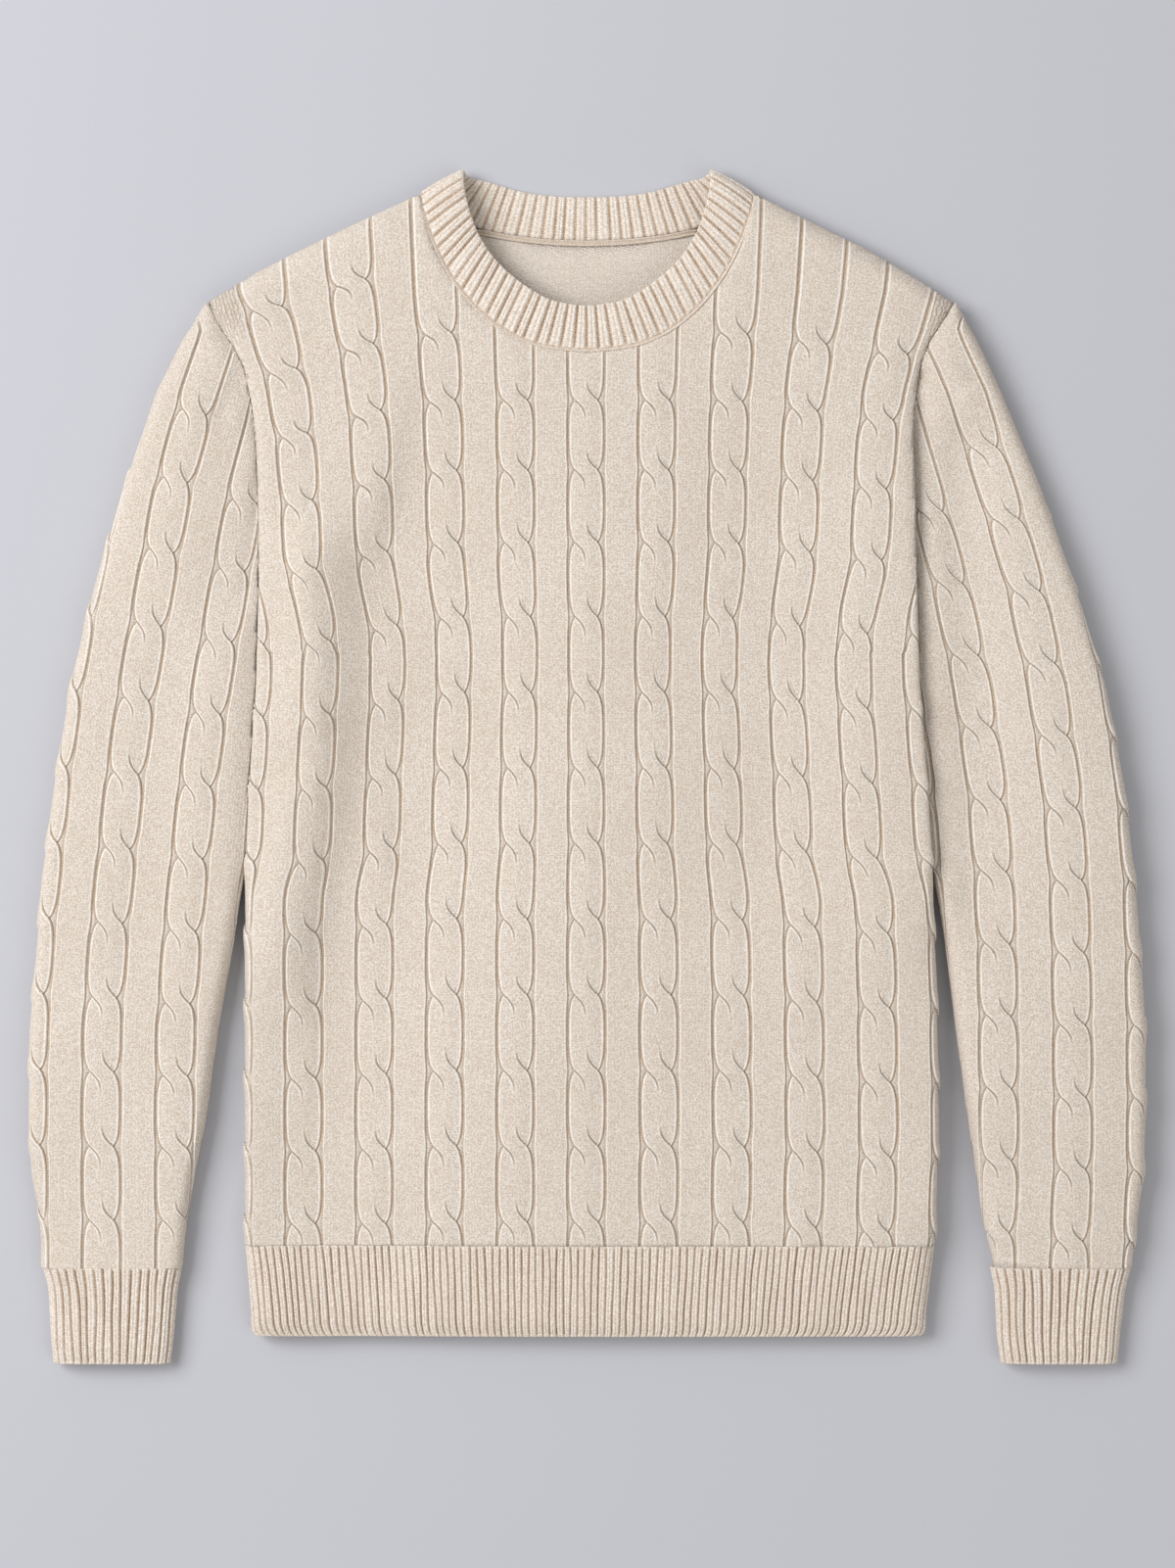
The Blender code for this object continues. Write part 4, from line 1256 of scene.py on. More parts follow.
    def distance(self, layer: Layer, height: Array, column: Array) -> Array:
        """Distance along a section at which a column lies, not held inside the section.

        Args:
            layer: The front or the back.
            height: y of each place.
            column: Its column.

        Returns:
            The distance there.
        """
        middle = self.middles[layer](height)
        total = np.where(column < 0, middle, layer.length(height) - middle)
        blend = smooth_step(height, self.underarm_y, self.underarm_y + self.pitch_settled)
        fan = np.where(height < self.underarm_y, 0.0, read_line(height, self.fan))
        pitch = (1.0 - blend) * total / self.cables + blend * CABLE.pitch
        return middle + column * pitch + np.sign(column) * fan * column ** 2

    def height_of(self, row: Array, column: Array) -> Array:
        """y of a row at a column, before the neck and shoulders cut it.

        Args:
            row: Row, counted in crossings.
            column: Column, counted in pitches from the middle.

        Returns:
            y there.
        """
        lag = read_line(column, self.lags) + read_line(column, self.lags, 2) * np.maximum(row, 0.0)
        return (self.first_crossing_y + CABLE.repeat * row
                - self.tightening * np.maximum(0.0, row - self.tight_from) ** 2 - lag)

    def grid(self, layer: Layer, rows: Array, columns: Array,
             neck: Table) -> Array:
        """Lays a grid of the fabric.

        Args:
            layer: The front or the back.
            rows: Rows, counted in crossings.
            columns: Columns, counted in pitches from the middle.
            neck: The neck line of this layer.

        Returns:
            Five grids of rows by columns: row, column, y, distance along the section, and
            distance below the neck and shoulder line.
        """
        even = np.linspace(-self.cables, self.cables, self.samples)
        last = np.full(even.shape, self.front_neck[0][1])
        for _ in range(self.rounds):
            reach = np.clip(self.distance(layer, last, even), 0.0, layer.length(last))
            x = layer.at(last, reach, 0.0)[0]
            last = 0.5 * last + 0.5 * (self.top_line(x, neck) - CLOTH.seam_gap)
        fine = np.linspace(rows[0], rows[-1], self.samples // 2)
        at_top = np.array([np.interp(top, self.height_of(fine, np.full_like(fine, place)), fine)
                           for place, top in zip(columns, np.interp(columns, even, last))])
        straight = last_row(self.top_crossings, np.round(columns) + self.cables)
        held = np.minimum(rows[:, None], np.minimum(straight, at_top))
        column = fitted_columns(columns, held)
        height = self.height_of(rows[:, None], column)
        joint = self.hem_joint_y + CLOTH.joint_gap
        height = np.minimum(np.maximum(height, joint), np.interp(column, even, last))
        height[0] = joint
        reach = self.distance(layer, height, column)
        height = share_ended_cells(height, reach, layer.length(height))
        reach = np.clip(self.distance(layer, height, column), 0.0, layer.length(height))
        x = layer.at(height, reach, 0.0)[0]
        below = self.top_line(x, neck) - CLOTH.seam_gap - height
        return np.array([rows[:, None] + 0.0 * column, column, height, reach, below])

    def relief(self, row: Array, column: Array, below: Array) -> Relief:
        """The knit over a laid grid of the body.

        Args:
            row: Row of each cell, counted in crossings.
            column: Column of each cell, counted in pitches from the middle.
            below: How far each cell is below the neck and shoulder line.

        Returns:
            Its relief.
        """
        cable = np.round(column)
        last = last_row(self.top_crossings, cable + self.cables)
        found = cable_relief((column - cable) * CABLE.pitch, np.minimum(row, last))
        found.course = row * CABLE.repeat / CLOTH.course
        found.wale = found.wale + cable * CABLE.pitch / CLOTH.wale
        found.fine = smooth_step(np.abs(column), *self.fine_columns) * (
            1.0 - smooth_step(below, *self.fine_reach))
        return found

    def rows(self, places: tuple[float, ...] = ROW_PLACES) -> Array:
        """The rows of a panel, from the hem to above the shoulders."""
        first = (self.hem_joint_y - self.first_crossing_y) / CABLE.repeat
        return row_places(first, self.last_crossing, places)

    def front_panel(self) -> Object:
        """The cabled front, open at the neck, armholes and hem.

        Returns:
            The piece.
        """
        whole = self.grid(self.front, self.rows(), column_places(-self.cables, self.cables),
                          self.front_neck)

        def face(rows: list[int], columns: list[int], inside: bool) -> Faced:
            """One face of the wall.

            Args:
                rows: Rows of the grid.
                columns: Its columns.
                inside: Whether it is the inner face.

            Returns:
                Coordinates and relief.
            """
            row, column, height, reach, below = whole[:, rows][:, :, columns]
            knit, length = self.relief(row, column, below), self.front.length(height)
            fade = smooth_step(below, 0.0, self.edge_fade) * smooth_step(
                np.minimum(reach, length - reach), 0.0, self.side_fade)
            fade = np.where(height > self.underarm_y, fade, 1.0)
            outside = np.where((reach <= 0.0) | (reach >= length), 0.0, knit.height * fade)
            x, z = self.front.at(height, reach, -CLOTH.wall if inside else outside)
            at_neck = np.abs(x) < self.neck_corner_x
            corner = 1.0 - smooth_step(np.abs(x), self.neck_corner_x, self.corner_x)
            from_fold = np.where(at_neck, self.shoulder_left[-1][1] - height, below)
            rounding = self.shoulder_round + corner * (self.corner_round - self.shoulder_round)
            near = 1.0 - np.clip(from_fold / rounding, 0.0, 1.0)
            drop = self.front.at(height, reach, 0.0)[1] - self.shoulder_front_z
            dip = (1.0 - np.clip(below / self.neck_dip_reach, 0.0, 1.0)) ** 2 * self.neck_dip
            z = z - near ** 2 * drop - np.where(at_neck, dip, 0.0)
            return x, height, z, Relief.purl_side(x, height) if inside else knit

        return Shell("front_panel_cloth").wall(face, whole[0].shape, (8, 21),
                                               self.knits.jersey, self.drape)

    def back_panel(self) -> Object:
        """The back: cables let into its underside, which rests flat, and purl bars inside.

        Returns:
            The piece.
        """
        columns = column_places(-self.cables, self.cables, CABLE_PLACES[:1] +
                                CABLE_PLACES[3:10:3] + CABLE_PLACES[11:15] + CABLE_PLACES[17:])
        whole = self.grid(self.back, self.rows(ROW_PLACES[::2]), columns, self.back_neck)

        def face(rows: list[int], columns: list[int], inside: bool) -> Faced:
            """One face of the wall.

            Args:
                rows: Rows of the grid.
                columns: Its columns.
                inside: Whether it is the inner face.

            Returns:
                Coordinates and relief.
            """
            row, column, height, reach, below = whole[:, rows][:, :, columns]
            knit = self.relief(row, column, below)
            ended = (reach <= 0.0) | (reach >= self.back.length(height))
            under = np.minimum(knit.height - CLOTH.under_rest, 0.0) * ~ended * smooth_step(
                below, 0.0, self.back_fade)
            x, z = self.back.at(height, reach, -CLOTH.plain_wall if inside else under)
            near = 1.0 - np.clip(below / self.shoulder_round, 0.0, 1.0)
            z = z + np.where(np.abs(x) > self.neck_corner_x, near ** 2 * self.shoulder_back_z, 0.0)
            return x, height, z, Relief.purl_side(x, height) if inside else knit

        return Shell("back_panel_cloth").wall(face, whole[0].shape, (2, 4),
                                              self.knits.jersey)

    def hem(self, name: str, front: bool) -> Object:
        """Half of the ribbed hem.

        Args:
            name: The piece's name.
            front: The upper half, or the one that rests on the surface.

        Returns:
            The piece.
        """
        heights = np.array([self.hem_bottom_y, -348.2, -347, -345, -341, -336, -330,
                            -324, -318, -312, -307, -303, -300, -297.5, -295.5, -294.2,
                            self.hem_joint_y - CLOTH.joint_gap])
        tops = np.interp(heights, [-348.9, -347.0, -340.0, -293.1],
                         [self.hem_top - self.hem_lip_drop - 0.8, self.hem_top - self.hem_lip_drop,
                          self.hem_top, self.top - self.hem_joint_drop])
        shares, place, knit = RibSizes(self.hem_ribs, self.rib_depth).across(heights)

        def section(height: float) -> Section:
            """The hem's outer line.

            Args:
                height: Where along y.

            Returns:
                What Layer takes.
            """
            rise = min(1.0, (height - self.hem_bottom_y + 0.4) / self.hem_corner)
            inset = self.hem_corner * (1.0 - np.sqrt(1.0 - (1.0 - rise) ** 2)) * 0.7
            right, left = self.ends(height)
            gap = CLOTH.seam_gap / 2
            edge = Edge(self.side_z + (gap if front else -gap), self.side_round, 1.0)
            top = np.interp(height, heights, tops) if front else 0.0
            return right + inset, left - inset, top, self.crown if front else 0.0, edge, edge

        layer = Layer(self.hem_bottom_y, self.hem_joint_y, 1.0, section)

        def face(rows: list[int], columns: list[int], inside: bool) -> Faced:
            """One face of the wall.

            Args:
                rows: Rows of the grid.
                columns: Its columns.
                inside: Whether it is the inner face.

            Returns:
                Coordinates and relief.
            """
            chosen = np.ix_(rows, columns)
            height = heights[rows][:, None] + 0.0 * shares[columns]
            lift = knit.height[chosen] if front else np.minimum(knit.height[chosen], 0.0)
            x, z = layer.at(height, place[chosen] * layer.length(height),
                            -CLOTH.plain_wall if inside else lift)
            return x, height, z, knit.part(chosen, inside)

        return Shell(name).wall(face, knit.height.shape, (1, 8), self.knits.ribbing,
                                self.drape if front else None)


@dataclass(frozen=True)
class RibSizes:
    """Ribs side by side across a band.

    Attributes:
        count: How many ribs.
        depth: Depth of the gaps between them.
        stray: How far a rib wanders sideways, in ribs.
        fade: Share of the depth lost at the first and at the last row.
        places: Grid columns within one rib, in ribs from the gap before it.
    """

    count: int
    depth: float
    stray: float = 0.12
    fade: Pair = (0.62, 0.85)
    places: tuple[float, ...] = (0.0, 0.06, 0.12, 0.19, 0.30, 0.42, 0.50, 0.58, 0.70, 0.81, 0.88,
                                 0.94)

    def profile(self, within: Array) -> tuple[Array, Array]:
        """Two lines of yarn with a low line between them, and a gap.

        Args:
            within: Place across a rib, from 0 to 1.

        Returns:
            How far down the rib is there, and the painted shade of its gap and its middle line.
        """
        from_gap, from_middle = np.minimum(within, 1.0 - within), np.abs(within - 0.5)
        drop = 1.0 - smooth_step(from_gap, 0.03, 0.24) + 0.26 * (
            1.0 - smooth_step(from_middle, 0.0, 0.12))
        painted_shade = 1.0 - smooth_step(from_gap, 0.03, 0.15) + 0.24 * (
            1.0 - smooth_step(from_middle, 0.0, 0.09))
        return drop, painted_shade

    def uneven(self, rib: Array, along: Array) -> Array:
        """How strong each gap is, about 1, with no two the same."""
        return 1.0 + 0.25 * smooth_noise(np.floor(rib + 0.5) * 3.0, along / 30.0, 1.0, SEED + 5)

    def across(self, heights: Array) -> tuple[Array, Array, Relief]:
        """The columns of the ribs and their relief.

        Args:
            heights: Place of each row along the ribs, in millimetres.

        Returns:
            The even shares of the columns, the shares at which they run, and their relief.
        """
        each = np.arange(self.count)[:, None] + np.array(self.places)
        rib = np.append(each.ravel(), float(self.count))
        row, column = heights[:, None], rib[None, :]
        stray = self.stray * smooth_noise(column, row / 24.0, 1.0, SEED + self.count)
        stray = stray + 0.2 * smooth_noise(column, row / 60.0, 5.0, SEED + 2 * self.count)
        hold = smooth_step(np.minimum(column, self.count - column), 0.0, 2.0)
        place = np.clip((column + stray * hold) / self.count, 0.0, 1.0)
        drop, painted_shade = self.profile(rib - np.floor(rib))
        start = 1.0 - smooth_step(row - heights[0], 0.4, 1.8)
        ragged = 2.0 + 1.2 * smooth_noise(np.floor(column + 0.5) * 3.0, 0.0, 1.0, SEED + 9)
        joint = 1.0 - smooth_step((heights[-1] - row) / ragged, 0.0, 1.0)
        strength = self.uneven(column, row) * (1.0 - self.fade[0] * start - self.fade[1] * joint)
        flat = np.zeros_like(strength)
        return rib / self.count, place, Relief(-self.depth * drop * strength, column + flat,
                                               row / CLOTH.course + flat,
                                               np.clip(painted_shade * strength, 0.0, 1.0), flat)


# ---- sleeves


@dataclass
class Sleeve:
    """One set-in sleeve and its ribbed cuff.

    The form's rows are height, outer fold x, outer cable x, inner edge x.
    """

    side: Side
    body: Body
    drape: Drape
    form: Table
    cuff_form: Table
    first_y: float
    repeat: float
    taper: float
    lag_each: float
    lag_all: float
    pitch: float = 45.0
    top: float = 20.0
    crown: float = 2.4
    side_z: float = 9.5
    side_round: float = 15.0
    tip_y: float = 283.7
    cuff_joint_y: float = -306.9
    tight_from: float = 8.0
    narrow: Pair = (0.55, 60.0)
    crown_width: float = 90.0
    cuff_joint_crown: float = 2.7
    rise: Pair = (-300.0, -200.0)
    cuff_drop: float = 3.5
    cuff_bottom_y: float = -366.0
    cuff_ribs: int = 33
    cuff_top: float = 15.0
    cuff_mouth_top: float = 13.5
    cuff_joint_top: float = 16.35
    cuff_crown: float = 1.5
    cuff_round: float = 11.0
    rib_depth: float = 1.9
    top_crossings: tuple[int, ...] = (10, 11, 10, 10)
    armhole_gap: float = 0.15
    armhole_edge_z: float = 16.7
    armhole_reach: float = 14.0
    armhole_low: Pair = (70.0, 175.0)
    armhole_drop: float = 0.6
    side_fade: float = 5.0
    tip_fade: float = 8.0
    last_crossing: float = 15.0
    cuff_press: float = 0.2
    cuff_press_reach: Pair = (-2.0, 9.0)
    top_side_round: float = 7.0

    def __post_init__(self) -> None:
        """Works out the laid layers."""
        self.over = Layer(self.cuff_joint_y, self.tip_y, 3.0, self.over_section)
        self.under = Layer(self.cuff_joint_y, self.tip_y, 3.0, self.under_section)
        self.cable_at = self.over.length_at(lambda height: read_line(height, self.form, 2))

    def inner_x(self, height: float) -> float:
        """x of the inner edge: by the body as far as they touch, then the underarm side."""
        joined = smooth_step(height, *self.body.touches_sleeve)
        beside = self.body.edge_x(height, self.side) + self.side.value * self.armhole_gap
        return joined * beside + (1.0 - joined) * read_line(height, self.form, 3)

    def over_section(self, height: float) -> Section:
        """The sleeve's top line, from its inner edge to its outer fold.

        Args:
            height: y of the section.

        Returns:
            What Layer takes.
        """
        inner, outer = self.inner_x(height), read_line(height, self.form)
        share = 1.0 - smooth_step(height, *self.armhole_low)
        width = abs(outer - inner)
        gained = min(1.0, self.narrow[0] + width / self.narrow[1])
        top = self.side_z + (self.top - self.side_z) * gained
        top -= (1.0 - smooth_step(height, *self.rise)) * self.cuff_drop
        crown = self.crown * min(width / self.crown_width, 1.0)
        armhole = min(self.body.edge_z(height) - self.armhole_drop, top - 0.5)
        joined = smooth_step(height, *self.body.touches_sleeve)
        low = self.side_z + CLOTH.underarm_gap / 2
        low += (self.armhole_edge_z - low) * joined
        low += (1.0 - share) * (armhole - low)
        reach = self.top_side_round + (self.armhole_reach - self.top_side_round) * joined
        return (inner, outer, top, crown, Edge(low, reach, share * (1.0 - joined)),
                Edge(self.side_z, self.top_side_round))

    def under_section(self, height: float) -> Section:
        """The sleeve's bottom line, from its outer fold back to its inner edge."""
        edge = self.body.low_edge(height, self.side_z - CLOTH.underarm_gap / 2, self.side_round)
        fold = Edge(self.side_z, self.side_round)
        return read_line(height, self.form), self.inner_x(height), 0.0, 0.0, fold, edge

    def height_of(self, row: Array, column: Array) -> Array:
        """y of a row at a column.

        Args:
            row: Row, counted in crossings.
            column: Column, counted in pitches from the sleeve's inner cable.

        Returns:
            y there.
        """
        held = np.minimum(np.abs(column), 2.0)
        height = (self.first_y + self.repeat * row
                  - self.taper * np.maximum(0.0, row - self.tight_from) ** 2)
        beyond = np.where(held > 1.0, 1.0, 0.5)
        height = height - (held - 1.0) * (self.lag_each * np.maximum(row, 0.0) * beyond
                                          + self.lag_all * smooth_step(held, 1.0, 1.5))
        return np.clip(height, self.cuff_joint_y + CLOTH.joint_gap, self.tip_y)

    def sleeve(self, name: str) -> Object:
        """The cabled sleeve, open at the cuff and at the armhole.

        Args:
            name: The piece's name.

        Returns:
            The piece.
        """
        start = (self.cuff_joint_y - self.first_y) / self.repeat
        every_row = row_places(start, self.last_crossing)[:, None]
        every_column = column_places(-3.0, 3.0)[::-1]
        last = last_row(self.top_crossings, np.abs(np.round(every_column)))
        fitted = fitted_columns(every_column, np.minimum(every_row, last))

        def face(rows: list[int], columns: list[int], inside: bool) -> Faced:
            """One face of the wall.

            Args:
                rows: Rows of the grid.
                columns: Its columns.
                inside: Whether it is the inner face.

            Returns:
                Coordinates and relief.
            """
            column = fitted[np.ix_(rows, columns)]
            row = every_row[rows] + 0.0 * column
            height = self.height_of(row, column)
            height[0] = self.cuff_joint_y + CLOTH.joint_gap
            total = self.over.length(height) + self.under.length(height)
            reach = self.cable_at(height) + (1.0 - column) * self.pitch
            height = share_ended_cells(height, reach, total)
            top_length = self.over.length(height)
            total = top_length + self.under.length(height)
            reach = np.clip(self.cable_at(height) + (1.0 - column) * self.pitch, 0.0, total)
            cable = np.round(column)
            offset = -self.side.value * (column - cable) * CABLE.pitch
            knit = cable_relief(offset, np.minimum(row, last_row(self.top_crossings,
                                                                 np.abs(cable))))
            knit.course = row * self.repeat / CLOTH.course
            knit.wale = knit.wale - self.side.value * cable * CABLE.pitch / CLOTH.wale
            fade = smooth_step(np.minimum(reach, total - reach), 0.0, self.side_fade)
            fade = fade * smooth_step(self.tip_y - height, 0.0, self.tip_fade)
            resting = smooth_step(reach - top_length, 0.0, self.side_round)
            raised = knit.height * (1.0 - resting) + resting * np.minimum(
                knit.height - CLOTH.under_rest, 0.0)
            x, z = around(self.over, self.under, height, reach,
                          -CLOTH.sleeve_wall if inside else raised * fade)
            return x, height, z, Relief.purl_side(reach, height) if inside else knit

        return Shell(name).wall(face, fitted.shape, (6, 7), self.body.knits.jersey, self.drape)

    def cuff(self, name: str) -> Object:
        """The ribbed cuff, all round, open at both ends.

        Args:
            name: The piece's name.

        Returns:
            The piece.
        """
        heights = np.array([self.cuff_bottom_y, -365.3, -364, -362, -358, -353, -347,
                            -341, -335, -329, -323, -318, -314, -311, -309, -307.8,
                            self.cuff_joint_y - CLOTH.joint_gap])
        tops = ((self.cuff_bottom_y, self.cuff_mouth_top, self.cuff_crown),
                (-360.0, self.cuff_top, 0.0), (-330.0, self.cuff_top, 0.0),
                (self.cuff_joint_y, self.cuff_joint_top, self.cuff_joint_crown))

        def section(height: float, above: bool) -> Section:
            """The cuff's top line, or its bottom line back.

            Args:
                height: Where along y.
                above: Whether it is the top line.

            Returns:
                What Layer takes.
            """
            outer, inner = (read_line(height, self.cuff_form, column) for column in (1, 2))
            top = read_line(height, tops)
            gap = CLOTH.underarm_gap / 2 if above else -CLOTH.underarm_gap / 2
            low = Edge(top / 2 + gap, self.cuff_round)
            fold = Edge(top / 2, self.cuff_round)
            crown = read_line(height, (tops[0], tops[-1]), 2)
            return ((inner, outer, top, crown, low, fold) if above
                    else (outer, inner, 0.0, 0.0, fold, low))

        upper, lower = (Layer(self.cuff_bottom_y, self.cuff_joint_y, 1.0,
                              partial(section, above=above)) for above in (True, False))
        shares, place, knit = RibSizes(self.cuff_ribs, self.rib_depth).across(heights)

        def face(rows: list[int], columns: list[int], inside: bool) -> Faced:
            """One face of the wall.

            Args:
                rows: Rows of the grid.
                columns: Its columns.
                inside: Whether it is the inner face.

            Returns:
                Coordinates and relief.
            """
            chosen = np.ix_(rows, columns)
            height = heights[rows][:, None] + 0.0 * shares[columns]
            top_length = upper.length(height)
            reach = place[chosen] * (top_length + lower.length(height))
            pressed = self.cuff_press * smooth_step(reach - top_length, *self.cuff_press_reach)
            lift = knit.height[chosen] * (1.0 - pressed)
            x, z = around(upper, lower, height, reach, -CLOTH.plain_wall if inside else lift)
            return x, height, z, knit.part(chosen, inside)

        return Shell(name).wall(face, knit.height.shape, (1, 5), self.body.knits.ribbing,
                                self.drape)


# ---- neck


@dataclass
class Neck:
    """The ribbed neckband, its linked seams and the tape inside the back neck.

    The stations run from front middle to back middle on the +X half: seam x, y, z and rim x, y, z
    on the band's outer face.
    """

    body: Body
    stations: Table = (
        (0, 255.2, 21.4, 0, 281.8, 21.4), (16.9, 256.4, 21.4, 12, 282.9, 21.4),
        (33.6, 259.8, 21.4, 24, 286.1, 21.4), (51.6, 268.6, 21.3, 39, 295, 21.3),
        (67.8, 282.2, 21.2, 54, 308, 21.1), (81.5, 299.4, 20.9, 64.5, 322.5, 20.8),
        (91.3, 317.6, 20.4, 70.6, 337, 20.4), (97.8, 335.3, 18.9, 74.4, 352, 19.2),
        (100.6, 345, 15.6, 75.6, 361.5, 16.9), (101.4, 352.6, 9.8, 75.6, 366.4, 10.6),
        (98, 349.5, 4.4, 74.5, 364.8, 4.6), (91, 345.5, 1, 70.5, 362, 1),
        (80, 338, 0.2, 63.5, 360.6, 0.2), (64.5, 330, 0, 53, 357.6, 0),
        (46.4, 326.4, 0, 39, 353.7, 0), (23.2, 323.6, 0, 20.2, 351.1, 0),
        (0, 322.8, 0, 0, 350.6, 0))
    # Rings just outside the band's seam: share across the band, lift, and painted shade in the
    # grooves beside the linked seam.
    skirt: Table = (
        (-0.115, -1.6, 0.9), (-0.092, -0.4, 0.35), (-0.070, 0.35, 0), (-0.045, 0.2, 0),
        (-0.024, -0.6, 0.75), (-0.006, -0.5, 0.75))
    shares: tuple[float, ...] = (0.01, 0.04, 0.09, 0.17, 0.28, 0.41, 0.54, 0.67, 0.78, 0.87, 0.93)
    ribs: int = 72
    bow: float = 1.4
    wall: float = 3.4
    rib_depth: float = 1.7
    tape_reach: float = 67.0
    tape_tucked: float = 8.0
    tape_low: float = 3.75
    tape_line: Table = (
        (-2, 0), (-1.75, 0.9), (-1.2, 1.35), (-0.5, 0.9), (0, 0.6), (0.5, 0.9), (1.2, 1.35),
        (1.75, 0.9), (2, 0))

    def ring(self, shares: Array) -> tuple[Array, Array, Array]:
        """Stations all round.

        Args:
            shares: Place of each one round the ring, from 0 at front middle up to 1.

        Returns:
            Seam points, rim points and outward normals.
        """
        table = np.array(self.stations)
        flipped = np.array([-1.0, 1.0, 1.0, -1.0, 1.0, 1.0])
        table = np.concatenate([table, (table[1:-1] * flipped)[::-1]])
        middle = (table[:, :3] + table[:, 3:]) / 2.0
        loop = np.concatenate([middle, middle[:1]])
        along = np.concatenate([[0.0], np.cumsum(np.linalg.norm(np.diff(loop, axis=0), axis=1))])
        places = np.asarray(shares) * along[-1]
        wrapped = np.concatenate([table[-3:], table, table[:4]])
        run = np.concatenate([along[-4:-1] - along[-1], along[:-1], along[-1] + along[:4]])
        found = smooth_line(run, wrapped, places)
        seams, rims = found[:, :3], found[:, 3:]
        across = rims - seams
        runs = np.roll((seams + rims) / 2, -1, axis=0) - np.roll((seams + rims) / 2, 1, axis=0)
        normals = unit(np.cross(runs, across))
        for _ in range(max(3, len(places) // 24)):
            normals = unit(np.roll(normals, 1, axis=0) + 2 * normals
                           + np.roll(normals, -1, axis=0))
        return seams, rims, normals

    def band(self) -> Object:
        """The band: ribs across it on both faces, a rounded rim, and its linked outer edge.

        Returns:
            The piece.
        """
        sizes = RibSizes(self.ribs, self.rib_depth)
        rib = (np.arange(self.ribs)[:, None] + np.array(sizes.places)).ravel()
        stray = 0.16 * smooth_noise(rib, 0.0 * rib, 1.0, SEED + 21)
        stray = stray * smooth_step(np.minimum(rib, self.ribs - rib), 0.0, 2.0)
        count = len(rib)
        seams, rims, normals = self.ring(((rib + stray) % self.ribs) / self.ribs)
        across = rims - seams
        level = np.where(normals[:, 2] < -0.2, 0.0, 1.0)
        level = np.convolve(np.concatenate([level[-40:], level, level[:40]]), np.ones(41) / 41.0,
                            "same")[40:-40]
        drop, painted_shade = sizes.profile(rib - np.floor(rib))
        facing_down = np.clip((-normals[:, 2] - 0.75) / 0.2, 0.0, 1.0)
        upper = smooth_step(seams[:, 2], 9.0, 15.0)

        def ring_at(share: float, inside: bool) -> tuple[Array, Array]:
            """One ring of the band.

            Args:
                share: Place from the seam to the rim.
                inside: Whether it is on the inner face.

            Returns:
                Its points and its painted shade.
            """
            bow = self.bow * 4.0 * share * (1.0 - share) * level
            strength = sizes.uneven(rib, np.full(count, 60.0 * share))
            strength = strength * np.interp(share, [0.0, 0.05, 0.9, 1.0], [0.5, 1.0, 1.0, 0.75])
            valley = self.rib_depth * drop * strength
            if inside:
                lift = bow - self.wall + valley * 0.7
            else:
                lift = bow - valley * (1.0 - 0.6 * facing_down)
            shade = np.clip(painted_shade * strength, 0.0, 1.0)
            return seams + across * share + normals * lift[:, None], shade

        rings = [(seams + across * share * upper[:, None]
                  + normals * (lift * upper - 0.3 * (1.0 - upper))[:, None],
                  np.full(count, shade)) for share, lift, shade in self.skirt]
        rings += [ring_at(share, False) for share in self.shares]
        outer, dark_rim = ring_at(self.shares[-1], False)
        inner = ring_at(self.shares[-1], True)[0]
        middle, arm = (outer + inner) / 2.0, (outer - inner) / 2.0
        for angle in np.radians((35.0, 65.0, 90.0, 115.0, 145.0)):
            rings.append((middle + arm * np.cos(angle) + across * 0.06 * np.sin(angle),
                          dark_rim * 0.8))
        rings += [ring_at(share, True) for share in self.shares[::-2]]
        shell = Shell("neckband_cloth")
        points = np.array([np.concatenate([ring, ring[:1]]) for ring, _ in rings + rings[:1]])
        points[..., 2] = np.maximum(points[..., 2], 0.0)
        shade = np.array([np.concatenate([part, part[:1]]) for _, part in rings + rings[:1]])
        wale = np.append(rib, float(self.ribs))[None, :] + 0.0 * shade
        run = np.cumsum(np.concatenate([[0.0], np.linalg.norm(
            np.diff(points[:, 0], axis=0), axis=1)]))
        course = run[:, None] / CLOTH.course + 0.0 * shade
        relief = Relief(0.0 * shade, wale, course, shade, 0.0 * shade)
        shell.grid(*np.moveaxis(points, -1, 0), relief, False)
        return shell.make(self.body.knits.ribbing, self.body.drape)

    def front_seam_path(self, count: int = 800) -> Array:
        """Points of the linked seam where the band meets the front, shoulder to shoulder.

        Args:
            count: How many points the whole ring has.

        Returns:
            The points.
        """
        seams, rims, normals = self.ring((np.arange(count) / count + 0.5) % 1.0)
        upper = seams[:, 2] > 14.0
        share, lift, _ = self.skirt[2]
        path = seams + (rims - seams) * share + normals * (lift + 0.05)
        return self.body.drape.laid(path[upper])

    def tape_path(self, aside: float, rise: float, count: int = 161) -> Array:
        """A line along the tape inside the back neck.

        Args:
            aside: Distance from the tape's middle line, up the back.
            rise: Height above the back's inner face.
            count: How many points.

        Returns:
            The points; both ends bend down under the band.
        """
        x = np.linspace(-self.tape_reach, self.tape_reach, count)
        y = read_line(x, mirrored(Body.back_neck))
        y = np.convolve(np.pad(y, 9, "edge"), np.ones(19) / 19.0, "valid")
        tucked = smooth_step(np.abs(x), self.tape_reach - self.tape_tucked, self.tape_reach)
        return np.stack([x, y + aside, self.tape_low + rise - 0.6 * tucked], axis=1)

    def tape(self) -> Object:
        """The narrow tape that covers the joint of band and back, with two raised edges.

        Returns:
            The piece.
        """
        lines = [*self.tape_line, (0.0, -0.1)]
        points = np.array([self.tape_path(aside, rise) for aside, rise in [*lines, lines[0]]])
